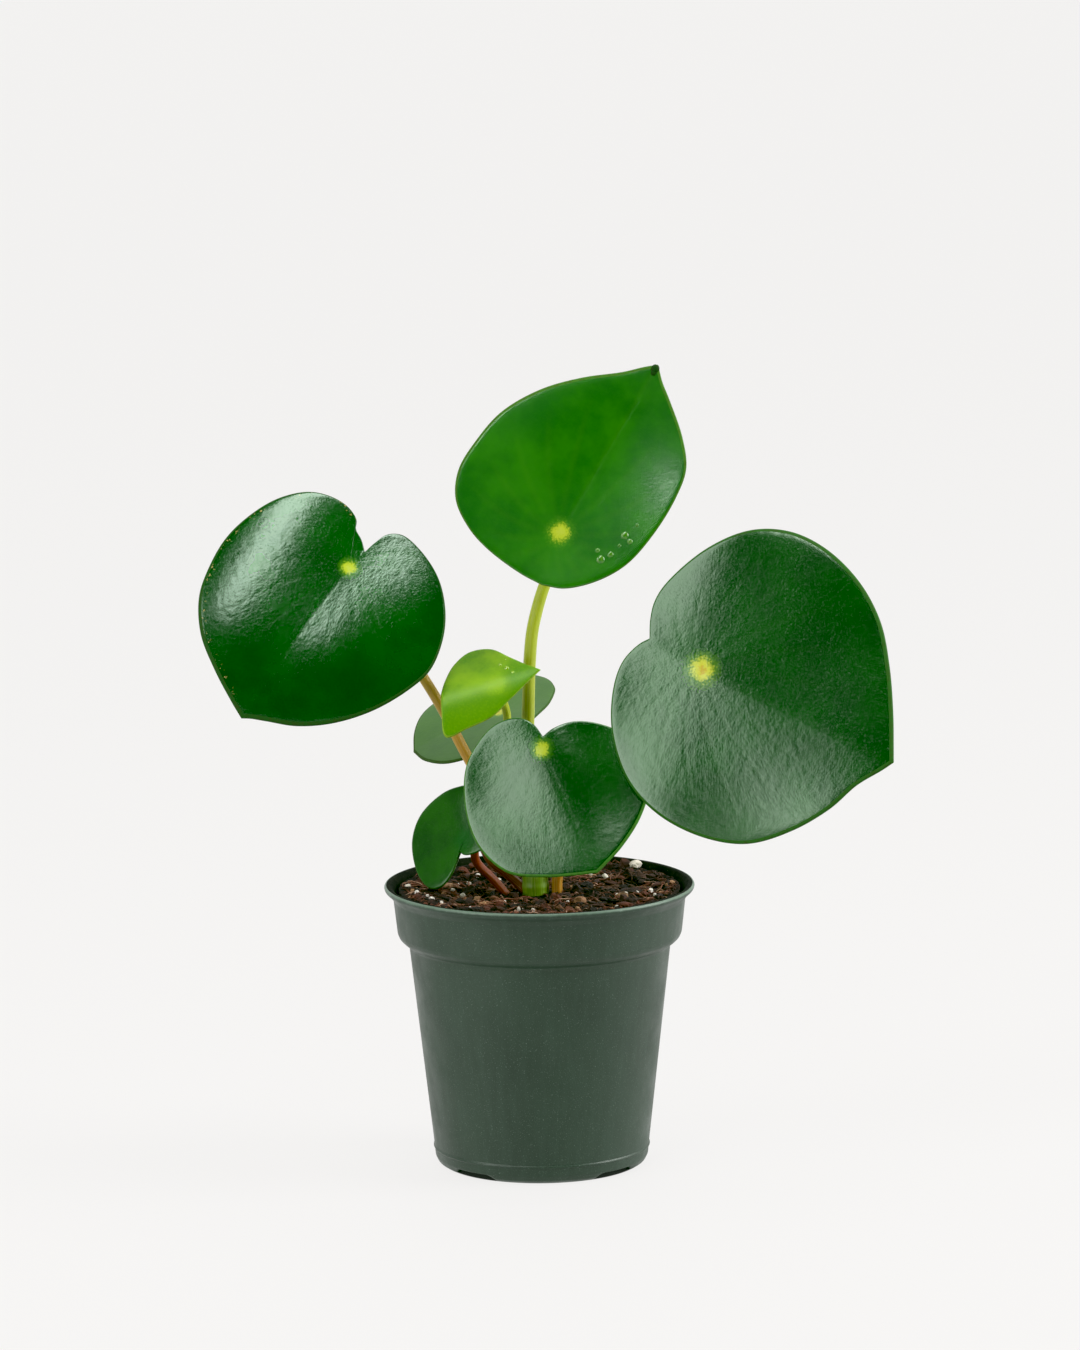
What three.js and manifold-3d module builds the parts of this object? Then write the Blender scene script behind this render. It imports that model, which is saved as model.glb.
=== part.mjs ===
// A potted peperomia: a green nursery pot with drain notches, potting mix, a fleshy main stem with its
// roots, and seven shield-shaped leaves, each held on its own leaf stalk.
// Millimetres, +Z up. The origin is the middle of the pot's underside, on the surface it stands on.
// The side at -Y is the plant's front.
import * as THREE from 'three';
import { mergeVertices } from 'three/addons/utils/BufferGeometryUtils.js';
import Module from 'manifold-3d';

const wasm = await Module();
wasm.setup();

// ---- Driving dimensions -------------------------------------------------------------------------

const GAP = 0.3; // clearance between neighbouring pieces

const POT_HEIGHT = 96;
const LIP_RADIUS = 52.5;
const LIP_WIDTH = 2.3; // flat top of the lip
const LIP_DROP = 4.6; // from the lip's top to where its underside meets the band
const BAND_TOP_RADIUS = 49.4;
const BAND_FOOT_RADIUS = 48.1;
const BAND_DROP = 17.5; // from the lip's top to where the band starts to round in
const WALL_TOP_RADIUS = 44.2;
const WALL_TOP_Z = 74;
const WALL_FOOT_RADIUS = 35.9;
const SEAM_Z = 6; // fine raised line round the wall's foot
const SEAM_PROUD = 0.35;
const FOOT_RADIUS = 33.6;
const FOOT_INNER_RADIUS = 31.8;
const WALL = 1.3;
const FLOOR_BOTTOM = 2.4;
const FLOOR_TOP = 3.9;
const PAD_RADIUS = 9; // flat pad in the middle of the underside
const NOTCH_COUNT = 4;
const NOTCH_OFFSET = 47; // degrees from the front to the first notch, towards +X
const NOTCH_WIDTH = 16;
const NOTCH_SLOPE = 3; // how far each end of a notch slopes in
const NOTCH_HEIGHT = 2.3;
const DRAIN_RADIUS = 3.5;
const DRAIN_DISTANCE = 25;
const POT_SEGMENTS = 56;

const SOIL_LEVEL = 92; // at the stem
const SOIL_RISE = 1.6; // from the stem out to the wall
const SOIL_EDGE_LIMIT = 93.4; // highest that the soil reaches against the wall
const SOIL_RINGS = 11;
const SOIL_SEGMENTS = 44;
const SOIL_LUMPS = 90;
const CHIP_COUNT = 34;

const STEM_RADIUS = 4.5;
const STEM_SIDES = 14;
const STEM_STEPS = 16;
const STALK_SIDES = 9;
const STALK_STEPS = 14;
const ROOT_COUNT = 7;
const ROOT_SIDES = 6;
const ROOT_STEPS = 6;

const BLADE = 1.2; // thickness of a large leaf
const THIN_BLADE = 1; // thickness of a small leaf
const BLADE_RINGS = [0.3, 0.6, 0.84, 0.96];
const MARGIN_SAMPLES = 24; // samples along each side of a large leaf's margin
const SMALL_MARGIN_SAMPLES = 16;

const COLOURS = {
  pot: '#4d6152',
  soil: '#2b1b14',
  stem: '#4f8a1e',
  roots: '#d8c9a6',
  limeStalk: '#94ad1c',
  tanStalk: '#b98a3c',
  redStalk: '#a3512c',
  darkLeaf: '#0d5212',
  brightLeaf: '#1f7a14',
  limeLeaf: '#86b414',
};

// ---- Small tools --------------------------------------------------------------------------------

// A seeded random number generator: the same values in every run.
function seeded(seed) {
  let state = seed;
  return () => {
    state = (state * 1664525 + 1013904223) % 4294967296;
    return state / 4294967296;
  };
}

function toSolid(geometry) {
  const bare = geometry.clone();
  bare.deleteAttribute('normal');
  bare.deleteAttribute('uv');
  const merged = mergeVertices(bare, 1e-4);
  const vertProperties = new Float32Array(merged.attributes.position.array);
  const triVerts = new Uint32Array(merged.index.array);
  return new wasm.Manifold(new wasm.Mesh({ numProp: 3, vertProperties, triVerts }));
}

function toGeometry(solid) {
  const mesh = solid.getMesh();
  const geometry = new THREE.BufferGeometry();
  geometry.setAttribute('position', new THREE.BufferAttribute(mesh.vertProperties, 3));
  geometry.setIndex(new THREE.BufferAttribute(mesh.triVerts, 1));
  geometry.computeVertexNormals();
  return geometry;
}

function geometryFrom(points, triangles) {
  const geometry = new THREE.BufferGeometry();
  geometry.setAttribute('position', new THREE.Float32BufferAttribute(points.flat(), 3));
  geometry.setIndex(triangles);
  geometry.computeVertexNormals();
  return geometry;
}

// Two triangles for each step between ring a and the next ring b, both closed loops of n points.
function band(triangles, a, b, n) {
  for (let i = 0; i < n; i += 1) {
    const j = (i + 1) % n;
    triangles.push(a + i, a + j, b + j);
    triangles.push(a + i, b + j, b + i);
  }
}

function fan(triangles, centre, ring, n) {
  for (let i = 0; i < n; i += 1) {
    triangles.push(centre, ring + i, ring + ((i + 1) % n));
  }
}

// A round stalk along a smooth curve through the points, with the radius given by radiusAt(0..1) and
// flat ends.
function stalkGeometry(points, radiusAt, sides, steps) {
  const curve = new THREE.CatmullRomCurve3(points.map((p) => new THREE.Vector3(...p)), false, 'centripetal');
  const frames = curve.computeFrenetFrames(steps, false);
  const vertices = [];
  const triangles = [];
  for (let i = 0; i <= steps; i += 1) {
    const centre = curve.getPointAt(i / steps);
    const radius = radiusAt(i / steps);
    for (let k = 0; k < sides; k += 1) {
      const angle = (2 * Math.PI * k) / sides;
      const vertex = centre.clone();
      vertex.addScaledVector(frames.normals[i], radius * Math.cos(angle));
      vertex.addScaledVector(frames.binormals[i], radius * Math.sin(angle));
      vertices.push(vertex.toArray());
    }
  }
  for (let i = 0; i < steps; i += 1) {
    band(triangles, i * sides, (i + 1) * sides, sides);
  }
  const start = vertices.push(curve.getPointAt(0).toArray()) - 1;
  const end = vertices.push(curve.getPointAt(1).toArray()) - 1;
  for (let k = 0; k < sides; k += 1) {
    const next = (k + 1) % sides;
    triangles.push(start, next, k);
    triangles.push(end, steps * sides + k, steps * sides + next);
  }
  return geometryFrom(vertices, triangles);
}

function piece(name, geometry, colour, roughness) {
  const material = new THREE.MeshStandardMaterial({ color: colour, roughness, metalness: 0 });
  const mesh = new THREE.Mesh(geometry, material);
  mesh.name = name;
  return mesh;
}

// ---- Pot ----------------------------------------------------------------------------------------

// The wall's radius on the outside of the tapered part, at height z.
function outerWallRadius(z) {
  const share = (z - SEAM_Z) / (WALL_TOP_Z - SEAM_Z);
  return WALL_FOOT_RADIUS + (WALL_TOP_RADIUS - WALL_FOOT_RADIUS) * share;
}

// Inside of the pot from its floor to its lip, as [radius, z] pairs.
const INNER_PROFILE = [
  [outerWallRadius(FLOOR_TOP) - WALL - 1.2, FLOOR_TOP],
  [outerWallRadius(FLOOR_TOP + 1.4) - WALL, FLOOR_TOP + 1.4],
  [WALL_TOP_RADIUS - WALL, WALL_TOP_Z + 0.7],
  [WALL_TOP_RADIUS + 1.2, WALL_TOP_Z + 2.2],
  [BAND_FOOT_RADIUS - WALL, POT_HEIGHT - BAND_DROP + 1.4],
  [BAND_TOP_RADIUS - WALL, POT_HEIGHT - LIP_DROP + 0.6],
  [LIP_RADIUS - LIP_WIDTH - 0.8, POT_HEIGHT - 1.2],
  [LIP_RADIUS - LIP_WIDTH, POT_HEIGHT - 0.3],
];

function potGeometry() {
  const bandFoot = POT_HEIGHT - BAND_DROP;
  const profile = [
    [0, 0],
    [PAD_RADIUS, 0],
    [PAD_RADIUS + 0.8, FLOOR_BOTTOM],
    [FOOT_INNER_RADIUS - 0.8, FLOOR_BOTTOM],
    [FOOT_INNER_RADIUS, 0],
    [FOOT_RADIUS, 0],
    [FOOT_RADIUS + 1.2, 0.9],
    [FOOT_RADIUS + 1.9, 2.6],
    [WALL_FOOT_RADIUS, SEAM_Z - 0.5],
    [WALL_FOOT_RADIUS + SEAM_PROUD, SEAM_Z - 0.2],
    [WALL_FOOT_RADIUS + SEAM_PROUD, SEAM_Z + 0.2],
    [outerWallRadius(SEAM_Z + 0.6), SEAM_Z + 0.6],
    [WALL_TOP_RADIUS, WALL_TOP_Z],
    [WALL_TOP_RADIUS + 0.4, WALL_TOP_Z + 0.8],
    [WALL_TOP_RADIUS + 2, WALL_TOP_Z + 1.8],
    [BAND_FOOT_RADIUS - 0.6, WALL_TOP_Z + 3.1],
    [BAND_FOOT_RADIUS, bandFoot],
    [BAND_TOP_RADIUS, POT_HEIGHT - LIP_DROP],
    [LIP_RADIUS - 1.8, POT_HEIGHT - 2.9],
    [LIP_RADIUS - 0.3, POT_HEIGHT - 1.6],
    [LIP_RADIUS, POT_HEIGHT - 0.7],
    [LIP_RADIUS - 0.4, POT_HEIGHT],
    [LIP_RADIUS - LIP_WIDTH + 0.4, POT_HEIGHT],
    ...INNER_PROFILE.slice().reverse(),
    [0, FLOOR_TOP],
  ];
  const points = profile.map(([radius, z]) => new THREE.Vector2(radius, z));
  const shell = new THREE.LatheGeometry(points, POT_SEGMENTS);
  shell.rotateX(Math.PI / 2);
  let pot = toSolid(shell);
  for (let i = 0; i < NOTCH_COUNT; i += 1) {
    const angle = THREE.MathUtils.degToRad(NOTCH_OFFSET + (360 / NOTCH_COUNT) * i - 90);
    pot = pot.subtract(toSolid(notchGeometry(angle)));
    pot = pot.subtract(toSolid(drainGeometry(angle)));
  }
  return toGeometry(pot);
}

// A wedge-ended slot that runs out through the foot ring, to be cut away.
function notchGeometry(angle) {
  const half = NOTCH_WIDTH / 2;
  const shape = new THREE.Shape();
  shape.moveTo(-half - NOTCH_SLOPE / 2, -1);
  shape.lineTo(half + NOTCH_SLOPE / 2, -1);
  shape.lineTo(half - NOTCH_SLOPE / 2, NOTCH_HEIGHT);
  shape.lineTo(-half + NOTCH_SLOPE / 2, NOTCH_HEIGHT);
  shape.closePath();
  const slot = new THREE.ExtrudeGeometry(shape, { depth: 12, bevelEnabled: false });
  slot.rotateX(Math.PI / 2);
  slot.rotateZ(Math.PI / 2);
  slot.translate(FOOT_INNER_RADIUS - 3, 0, 0);
  slot.rotateZ(angle);
  return slot;
}

function drainGeometry(angle) {
  const hole = new THREE.CylinderGeometry(DRAIN_RADIUS, DRAIN_RADIUS, 10, 20);
  hole.rotateX(Math.PI / 2);
  hole.translate(DRAIN_DISTANCE * Math.cos(angle), DRAIN_DISTANCE * Math.sin(angle), FLOOR_TOP);
  return hole;
}

// ---- Main stem and roots ------------------------------------------------------------------------

const STEM_PATH = [
  [0.5, 0.5, 48],
  [-0.2, 0.2, 70],
  [-1, 0, 90],
  [-1.8, 0, 108],
  [-3, 0.3, 124],
];

// Radius along the stem: narrow at the foot in the soil, full above it, with a rounded top.
function stemRadius(t) {
  const foot = 0.55 + 0.45 * THREE.MathUtils.smoothstep(t, 0, 0.4);
  const taper = 1 - 0.14 * THREE.MathUtils.smoothstep(t, 0.5, 0.95);
  const dome = t > 0.955 ? Math.sqrt(1 - 0.8 * ((t - 0.955) / 0.045) ** 2) : 1;
  return STEM_RADIUS * foot * taper * dome;
}

// The stem, or a copy of it that is thicker by grow, for cutting clearances.
function stemGeometry(grow = 0) {
  const path = STEM_PATH.map((p) => p.slice());
  path[path.length - 1][2] += grow;
  return stalkGeometry(path, (t) => stemRadius(t) + grow, STEM_SIDES, STEM_STEPS);
}

// One tapering root that leaves the stem's foot and winds out and down.
function rootPath(index, random) {
  const angle = ((index + 0.4 * random()) * 2 * Math.PI) / ROOT_COUNT;
  const reach = 17 + 11 * random();
  const drop = 20 + 16 * random();
  const swing = 0.7 * (random() - 0.5);
  const point = (share, depth, turn) => [
    0.5 + reach * share * Math.cos(angle + turn),
    0.5 + reach * share * Math.sin(angle + turn),
    46 - depth,
  ];
  return [point(-0.05, -3, 0), point(0.12, 2, 0), point(0.45, 0.3 * drop, swing), point(1, drop, -swing)];
}

function rootsSolid(grow = 0) {
  const random = seeded(11);
  const crown = new THREE.SphereGeometry(4.2 + grow, 10, 8);
  crown.translate(0.5, 0.5, 43.2);
  let solid = toSolid(crown);
  for (let i = 0; i < ROOT_COUNT; i += 1) {
    const path = rootPath(i, random);
    const root = stalkGeometry(path, (t) => 1.5 - 0.9 * t + grow, ROOT_SIDES, ROOT_STEPS);
    solid = solid.add(toSolid(root));
  }
  return solid;
}

// ---- Leaves -------------------------------------------------------------------------------------
// A leaf lies in its own frame: its origin is where the stalk meets the blade, +Y runs along the midrib
// to the tip, +X to the right of the midrib and +Z out of the upper face.
//   at: that origin in the plant
//   facing: [elevation, azimuth] of the upper face in degrees, azimuth 0 facing the front
//   turn: degrees from straight down the blade's slope to the midrib
//   right, left: the margin from the notch to the tip on each side of the midrib
//   form: dome (fall at one size from the stalk), size, groove (valley along the midrib, a ridge
//     if below zero), tip (lift of the tip), wave (height of the margin's waves) and waves (their number)

const LEAVES = {
  top: {
    at: [8.1, -8, 216.9],
    facing: [12, -1],
    turn: -149.8,
    notch: [3.6, -18.3],
    right: [[10.6, -15.6], [18.6, -8.3], [24.6, 1.4], [27.3, 13.9], [27.9, 28.6], [26, 39.1],
      [19.7, 47.7], [9.5, 56.7], [4.4, 60.8]],
    left: [[-5, -18.5], [-18.8, -16.8], [-27.4, -13.8], [-35.6, -7.9], [-39.7, 1.1], [-39.4, 13],
      [-36.9, 25.1], [-29.5, 38.1], [-19.6, 48.4], [-8.6, 57], [-2.9, 62.4]],
    tip: [0.5, 65],
    form: { dome: 1.6, size: 38, groove: 0.18, tip: 2, wave: 0.5, waves: 3 },
    blade: BLADE,
    colour: COLOURS.brightLeaf,
  },
  left: {
    at: [-62.6, -8, 205.5],
    facing: [34, 7.5],
    turn: 39.6,
    notch: [-0.7, -8.3],
    right: [[3, -11.5], [6.2, -13.2], [7.6, -14.6], [8.5, -16.5], [13.7, -18.8], [20.5, -18.4],
      [27.5, -15.3], [34, -7.9], [38.1, 1.7], [40.1, 14.1], [38.6, 26.1], [35.2, 36.1], [27.2, 45.9],
      [16.5, 52.6], [6, 57.2]],
    left: [[-1.4, -14.2], [-2.7, -18.9], [-6.6, -21.8], [-14.2, -21], [-25.1, -16.5], [-34.2, -8],
      [-39.7, 1.3], [-42.5, 12.4], [-40.8, 22.1], [-35.3, 34.6], [-26.8, 45], [-17, 52.2], [-7.4, 56.1],
      [-2.5, 58.1]],
    tip: [0, 59.5],
    form: { dome: 8.2, size: 42, groove: 0.14, tip: -1, wave: 0.4, waves: 4 },
    blade: BLADE,
    colour: COLOURS.darkLeaf,
  },
  right: {
    at: [54.5, -45, 176.3],
    facing: [12.5, -16.6],
    turn: -67.1,
    notch: [-1.6, -21],
    right: [[1.6, -23.5], [9.1, -26.2], [18.8, -25.4], [32.4, -19.6], [44.1, -8.3], [49.8, 5.4],
      [50.3, 22.3], [45.9, 37.1], [35.5, 49.3], [22.9, 58.7], [12, 63.7], [3.9, 69.2]],
    left: [[-7.3, -23.7], [-13.3, -25.1], [-20.1, -24.4], [-36.2, -17.3], [-48.1, -6.7], [-53.4, 5.4],
      [-53.5, 19.1], [-48.5, 34.3], [-39.6, 46.7], [-27.7, 55.9], [-15.1, 63.6], [-5, 68.9]],
    tip: [0, 71.5],
    form: { dome: 2.2, size: 48, groove: -0.06, tip: 2.5, wave: 0.4, waves: 5 },
    blade: BLADE,
    colour: COLOURS.darkLeaf,
  },
  front: {
    at: [1.3, -26, 146.6],
    facing: [20, -14],
    turn: -27.8,
    notch: [-2, -4],
    right: [[-0.7, -9.3], [2.9, -13.4], [8.5, -15.1], [15.1, -14.3], [26.1, -7.1], [32.5, 5.9],
      [33.5, 19.8], [27.8, 32.1], [17.2, 38.9], [7, 43.1]],
    left: [[-6.4, -5.1], [-13.4, -4.3], [-20.3, -0.5], [-26.9, 6.7], [-29.5, 16.7], [-27.1, 26.4],
      [-20.4, 34.4], [-11, 40.8], [-4, 44]],
    tip: [0, 45.4],
    form: { dome: 2, size: 30, groove: -0.06, tip: 1, wave: 0.3, waves: 3 },
    blade: BLADE,
    colour: COLOURS.darkLeaf,
  },
  back: {
    at: [-13.8, 26, 149.9],
    facing: [66, -22],
    turn: 51.6,
    notch: [2.4, -18.6],
    right: [[6.2, -22.9], [13, -22.2], [21.2, -13.4], [23.9, 0], [21.4, 11.4], [16.7, 21.7], [9.5, 27.5]],
    left: [[-3, -17.4], [-8.5, -11.6], [-15, -4], [-19.6, 5], [-19.8, 14], [-15.7, 23.9], [-7.5, 29.6]],
    tip: [0, 31.2],
    form: { dome: 2, size: 24, groove: 0.08, tip: -2, wave: 0.3, waves: 3 },
    blade: THIN_BLADE,
    colour: COLOURS.darkLeaf,
  },
  young: {
    at: [-13.9, -12, 166.4],
    facing: [38, -4],
    turn: -110,
    notch: [-2.6, -18.6],
    right: [[3, -20.2], [11.3, -21.6], [11, -14], [9.8, -4.5], [6.6, 2.4], [3.4, 9]],
    left: [[-7.5, -15.8], [-13.8, -10.7], [-17.6, -4], [-16.1, 2.9], [-9.5, 7.9], [-4, 12]],
    tip: [0, 15.8],
    form: { dome: 0, size: 16, groove: -0.42, tip: 1, wave: 0.2, waves: 2 },
    blade: THIN_BLADE,
    colour: COLOURS.limeLeaf,
  },
  lower_left: {
    at: [-24.6, -17, 114.4],
    facing: [24, -38],
    turn: -174.9,
    notch: [-1.4, -4.2],
    right: [[1.6, -5], [6, -3.4], [10.8, 0.4], [14.2, 6], [12, 12.4], [6.4, 17.9]],
    left: [[-1, -10.7], [-4.2, -17], [-9, -18.7], [-15.1, -15.1], [-21.8, -5], [-22.1, 4.1], [-15.9, 13.8],
      [-7, 18.8]],
    tip: [0, 21.4],
    form: { dome: 2, size: 20, groove: 0.12, tip: 0, wave: 0.3, waves: 2 },
    blade: THIN_BLADE,
    colour: COLOURS.darkLeaf,
  },
};

// The unit vector that a leaf's upper face looks along.
function leafNormal([elevation, azimuth]) {
  const rise = THREE.MathUtils.degToRad(elevation);
  const swing = THREE.MathUtils.degToRad(azimuth);
  return new THREE.Vector3(
    Math.sin(swing) * Math.cos(rise),
    -Math.cos(swing) * Math.cos(rise),
    Math.sin(rise),
  );
}

// The turn that sets a leaf's own frame in the plant.
function leafTurn(leaf) {
  const normal = leafNormal(leaf.facing);
  const level = normal.clone().cross(new THREE.Vector3(0, 0, 1)).normalize();
  const upSlope = level.clone().cross(normal);
  const turn = THREE.MathUtils.degToRad(leaf.turn);
  const midrib = upSlope.multiplyScalar(-Math.cos(turn)).addScaledVector(level, Math.sin(turn));
  const side = midrib.clone().cross(normal);
  return new THREE.Quaternion().setFromRotationMatrix(new THREE.Matrix4().makeBasis(side, midrib, normal));
}

// Height of a leaf's middle surface at (x, y) in its own frame.
function leafHeight(form, x, y) {
  const reach = Math.hypot(x, y) / form.size;
  const valley = form.groove * (Math.sqrt(x * x + 4) - 2);
  const tipLift = 0.3 * form.tip * (Math.max(y, 0) / form.size) ** 3;
  const wave = form.wave * reach ** 3 * Math.sin(form.waves * Math.atan2(x, y));
  return -form.dome * reach ** 2 + valley + tipLift + wave;
}

// The margin as a closed loop: from the notch up the right side to the tip, and down the left side.
function leafMargin(leaf, samples) {
  const side = (points) => {
    const path = [leaf.notch, ...points, leaf.tip].map(([x, y]) => new THREE.Vector3(x, y, 0));
    const curve = new THREE.CatmullRomCurve3(path, false, 'centripetal');
    return curve.getSpacedPoints(samples).map((p) => [p.x, p.y]);
  };
  return [...side(leaf.right).slice(0, -1), ...side(leaf.left).reverse().slice(0, -1)];
}

// Both faces have the same triangles, one above the other, so the blade never crosses itself.
function leafGeometry(leaf) {
  const samples = leaf.blade === BLADE ? MARGIN_SAMPLES : SMALL_MARGIN_SAMPLES;
  const margin = leafMargin(leaf, samples);
  const n = margin.length;
  const points = [];
  const addRing = (share, lift) => {
    const start = points.length;
    for (const [x, y] of margin) {
      points.push([x * share, y * share, leafHeight(leaf.form, x * share, y * share) + lift]);
    }
    return start;
  };
  const half = leaf.blade / 2;
  const centres = [points.push([0, 0, half]) - 1, points.push([0, 0, -half]) - 1];
  const upper = BLADE_RINGS.map((share) => addRing(share, half));
  const lower = BLADE_RINGS.map((share) => addRing(share, -half));
  const edge = addRing(1, 0);
  const triangles = [];
  const flipped = [];
  fan(triangles, centres[0], upper[0], n);
  fan(flipped, centres[1], lower[0], n);
  for (let i = 1; i < BLADE_RINGS.length; i += 1) {
    band(triangles, upper[i], upper[i - 1], n);
    band(flipped, lower[i], lower[i - 1], n);
  }
  band(triangles, edge, upper.at(-1), n);
  band(flipped, edge, lower.at(-1), n);
  for (let i = 0; i < flipped.length; i += 3) {
    triangles.push(flipped[i], flipped[i + 2], flipped[i + 1]);
  }
  return geometryFrom(points, triangles);
}

// ---- Leaf stalks --------------------------------------------------------------------------------
// Each path starts inside the main stem, which the stalk is then cut clear of, and ends square to the
// underside of its leaf.

const STALKS = {
  top: {
    radii: [2.3, 1.9],
    colour: COLOURS.limeStalk,
    path: [[-3, 0.3, 118], [-3.8, 0.6, 136], [-3.3, 1, 153.2], [-2.6, 1.5, 170.9], [-1.5, 2, 182.4],
      [1, 3.5, 192.3], [3.6, 4.6, 199.5], [7.6, 2.4, 209.5]],
  },
  left: {
    radii: [1.9, 1.7],
    colour: COLOURS.tanStalk,
    path: [[-1.8, 0, 101], [-10, -1.5, 115], [-23.5, -3, 139.6], [-34.1, -3, 160.3], [-50, 0, 184.5]],
  },
  right: {
    radii: [1.8, 1.8],
    colour: COLOURS.tanStalk,
    path: [[-0.4, 0, 74], [4, -0.8, 83], [5.9, -1.5, 92.1], [6.3, -2, 99], [14, -6, 120], [33, -15, 149]],
  },
  front: {
    radii: [1.8, 1.6],
    colour: COLOURS.limeStalk,
    path: [[-2.4, 0, 113], [-2.2, -6, 124], [-0.8, -14, 134.5]],
  },
  back: {
    radii: [1.6, 1.4],
    colour: COLOURS.redStalk,
    path: [[-1, 0.4, 90], [-10.9, 4, 98.4], [-16.6, 6, 103], [-21, 11, 114], [-20, 21, 130]],
  },
  young: {
    radii: [1.5, 1.3],
    colour: COLOURS.limeStalk,
    path: [[-2.7, 0, 118], [-7.4, -1.4, 131], [-9.8, -2.8, 146], [-10.8, -3.8, 157]],
  },
  lower_left: {
    radii: [1.6, 1.4],
    colour: COLOURS.redStalk,
    path: [[-0.6, 0, 80], [-8, -1.4, 88.5], [-15, -3, 97.4], [-21, -5.4, 104.4]],
  },
};

// The stalk's whole path: its own points, then straight in along the leaf's normal to the underside.
function stalkPath(name) {
  const leaf = LEAVES[name];
  const normal = leafNormal(leaf.facing);
  const ridge = Math.max(0, -leaf.form.groove);
  const under = (distance) => new THREE.Vector3(...leaf.at).addScaledVector(normal, -distance).toArray();
  return [...STALKS[name].path, under(4.5), under(leaf.blade / 2 + GAP + ridge)];
}

function stalkSolid(name, grow = 0) {
  const [foot, head] = STALKS[name].radii;
  const radiusAt = (t) => {
    const swell = 0.35 * THREE.MathUtils.smoothstep(t, 0.93, 1);
    return THREE.MathUtils.lerp(foot, head, t) + swell + grow;
  };
  return toSolid(stalkGeometry(stalkPath(name), radiusAt, STALK_SIDES, STALK_STEPS));
}

// ---- Soil ---------------------------------------------------------------------------------------

const soilRandom = seeded(5);
const LUMPS = Array.from({ length: SOIL_LUMPS }, () => {
  const angle = 2 * Math.PI * soilRandom();
  const distance = 46 * Math.sqrt(soilRandom());
  return {
    x: distance * Math.cos(angle),
    y: distance * Math.sin(angle),
    width: 2 + 3.2 * soilRandom(),
    height: 2.2 * (soilRandom() - 0.42),
  };
});

// The soil's surface: a shallow dish round the stem, with lumps and hollows.
function soilHeight(x, y) {
  const edge = BAND_TOP_RADIUS - WALL;
  let z = SOIL_LEVEL + SOIL_RISE * ((x * x + y * y) / edge ** 2);
  for (const lump of LUMPS) {
    const distance = ((x - lump.x) ** 2 + (y - lump.y) ** 2) / lump.width ** 2;
    z += lump.height * Math.exp(-distance);
  }
  return z;
}

// A plug that fills the pot up to the lumpy surface, GAP inside its wall.
function soilPlug() {
  const wall = INNER_PROFILE.slice(0, 5).map(([radius, z]) => [radius - GAP, z + GAP]);
  const rimRadius = BAND_TOP_RADIUS - WALL - GAP - 0.1;
  const points = [[0, 0, FLOOR_TOP + GAP], [0, 0, soilHeight(0, 0)]];
  const rings = [];
  const addRing = (radius, heightAt) => {
    rings.push(points.length);
    for (let i = 0; i < SOIL_SEGMENTS; i += 1) {
      const angle = (2 * Math.PI * i) / SOIL_SEGMENTS;
      const x = radius * Math.cos(angle);
      const y = radius * Math.sin(angle);
      points.push([x, y, heightAt(x, y)]);
    }
  };
  wall.forEach(([radius, z]) => addRing(radius, () => z));
  for (let i = SOIL_RINGS; i > 0; i -= 1) {
    const share = (i / SOIL_RINGS) ** 0.85;
    const limit = i === SOIL_RINGS ? SOIL_EDGE_LIMIT : Infinity;
    addRing(rimRadius * share, (x, y) => Math.min(soilHeight(x, y), limit));
  }
  const triangles = [];
  const bottom = [];
  fan(bottom, 0, rings[0], SOIL_SEGMENTS);
  for (let i = 0; i < bottom.length; i += 3) {
    triangles.push(bottom[i], bottom[i + 2], bottom[i + 1]);
  }
  for (let i = 1; i < rings.length; i += 1) {
    band(triangles, rings[i - 1], rings[i], SOIL_SEGMENTS);
  }
  fan(triangles, 1, rings.at(-1), SOIL_SEGMENTS);
  return toSolid(geometryFrom(points, triangles));
}

// Bark chips and perlite grains, sunk about half way into the surface.
function soilChips() {
  const random = seeded(23);
  return Array.from({ length: CHIP_COUNT }, (_, i) => {
    const grain = i % 2 === 0;
    const angle = 2 * Math.PI * random();
    const distance = 10 + 34 * Math.sqrt(random());
    const size = grain ? 0.9 + 0.7 * random() : 1.4 + 1.6 * random();
    const chip = new THREE.IcosahedronGeometry(size, 0);
    if (!grain) {
      chip.scale(1.7, 0.8, 0.45);
    }
    chip.rotateX(0.8 * (random() - 0.5));
    chip.rotateZ(Math.PI * random());
    const x = distance * Math.cos(angle);
    const y = distance * Math.sin(angle);
    chip.translate(x, y, soilHeight(x, y) + 0.2 * size);
    return toSolid(chip);
  });
}

function soilGeometry() {
  let soil = soilPlug();
  for (const chip of soilChips()) {
    soil = soil.add(chip);
  }
  soil = soil.subtract(toSolid(stemGeometry(GAP)));
  soil = soil.subtract(rootsSolid(GAP));
  for (const name of ['right', 'back', 'lower_left']) {
    soil = soil.subtract(stalkSolid(name, GAP));
  }
  return toGeometry(soil);
}

// ---- The plant ----------------------------------------------------------------------------------

const plant = new THREE.Group();
plant.add(piece('pot', potGeometry(), COLOURS.pot, 0.5));
plant.add(piece('soil', soilGeometry(), COLOURS.soil, 0.95));
plant.add(piece('main_stem', stemGeometry(), COLOURS.stem, 0.4));

const rootSpace = toSolid(stemGeometry(GAP));
plant.add(piece('roots', toGeometry(rootsSolid().subtract(rootSpace)), COLOURS.roots, 0.8));

const stemSpace = toSolid(stemGeometry(GAP));
const taken = [];
for (const name of Object.keys(STALKS)) {
  let stalk = stalkSolid(name).subtract(stemSpace);
  for (const neighbour of taken) {
    stalk = stalk.subtract(neighbour);
  }
  taken.push(stalkSolid(name, GAP));
  plant.add(piece(`leaf_stalk_${name}`, toGeometry(stalk), STALKS[name].colour, 0.4));
}

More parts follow.
